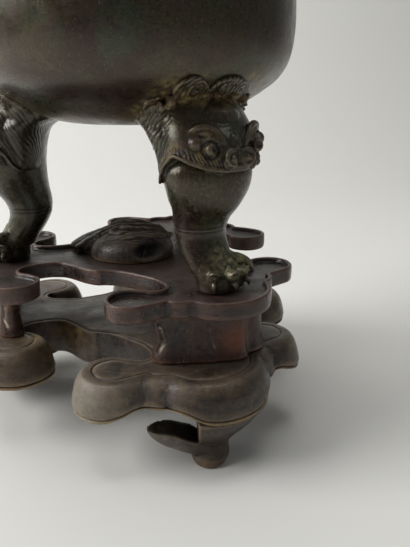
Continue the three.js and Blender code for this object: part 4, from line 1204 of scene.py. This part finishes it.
def make_sweep():
    bm = bmesh.new()
    line = [(-SWEEP_FRONT, 0.0), (SWEEP_BEND_AT, 0.0)]
    for a in np.linspace(0.1, math.pi / 2, 16):
        line.append((SWEEP_BEND_AT + SWEEP_BEND * math.sin(a), SWEEP_BEND - SWEEP_BEND * math.cos(a)))
    line.append((SWEEP_BEND_AT + SWEEP_BEND, SWEEP_UP))
    verts = [bm.verts.new((-SWEEP_SIDE, y, z)) for y, z in line]
    edges = [bm.edges.new(pair) for pair in zip(verts, verts[1:])]
    made = bmesh.ops.extrude_edge_only(bm, edges=edges)
    fresh = [g for g in made["geom"] if isinstance(g, bmesh.types.BMVert)]
    bmesh.ops.translate(bm, vec=(2 * SWEEP_SIDE, 0, 0), verts=fresh)
    mesh = bpy.data.meshes.new("table_sweep")
    bm.to_mesh(mesh)
    bm.free()
    mesh.polygons.foreach_set("use_smooth", [True] * len(mesh.polygons))
    sweep = linked("table_sweep", mesh)
    material, _, shader = fresh_material("pale_paper", 0.9)
    shader.inputs["Base Color"].default_value = colour(222, 221, 216)
    mesh.materials.append(material)


def lamp(name, place, target, size, power):
    light = bpy.data.lights.new(name, "AREA")
    light.shape = "RECTANGLE"
    light.size, light.size_y = size
    light.energy = power
    holder = linked(name, light)
    holder.location = place
    holder.rotation_euler = (Vector(target) - Vector(place)).to_track_quat("-Z", "Y").to_euler()


make_sweep()
MIDDLE = (AXIS.x, AXIS.y, 0.2)
lamp("window_left", (-1.7, -0.1, 1.2), MIDDLE, (1.3, 1.2), 41)
lamp("sky_above", (-0.1, 0.3, 2.0), MIDDLE, (1.5, 1.5), 19)
lamp("room_right", (1.2, -0.4, 1.25), MIDDLE, (0.2, 0.2), 0.6)


def make_world():
    """Soft light from the room. What the camera sees directly past the sweep is the same pale grey."""
    world = bpy.data.worlds.new("room")
    world.use_nodes = True
    tree = world.node_tree
    w = Wires(tree)
    direct = w.add("LightPath").outputs["Is Camera Ray"]
    background = tree.nodes["Background"]
    background.inputs["Color"].default_value = (0.9, 0.92, 0.95, 1)
    w.set(background, "Strength", w.spread(direct, 0.0, 1.0, 0.15, 0.78))
    bpy.context.scene.world = world


make_world()

# The photograph's long side is 547 pixels, and its focal length comes from fitting the stand and
# the vessel to it.
LONG_SIDE, FOCAL_PIXELS, SENSOR = 547, 620.6, 36
CAMERA_YAW, CAMERA_PITCH = 0.136, 0.323
CAMERA_AT = (-12.2, -492.6, 144.4 + PLATE_TOP)
camera_data = bpy.data.cameras.new("camera")
camera_data.sensor_width = SENSOR
camera_data.lens = FOCAL_PIXELS * SENSOR / LONG_SIDE
camera_data.clip_start = 0.01
camera = linked("camera", camera_data)
camera.location = AXIS + Vector(CAMERA_AT) * MM
camera.rotation_euler = (math.pi / 2 - CAMERA_PITCH, 0, -CAMERA_YAW)
bpy.context.scene.camera = camera
bpy.context.scene.view_settings.view_transform = "Standard"
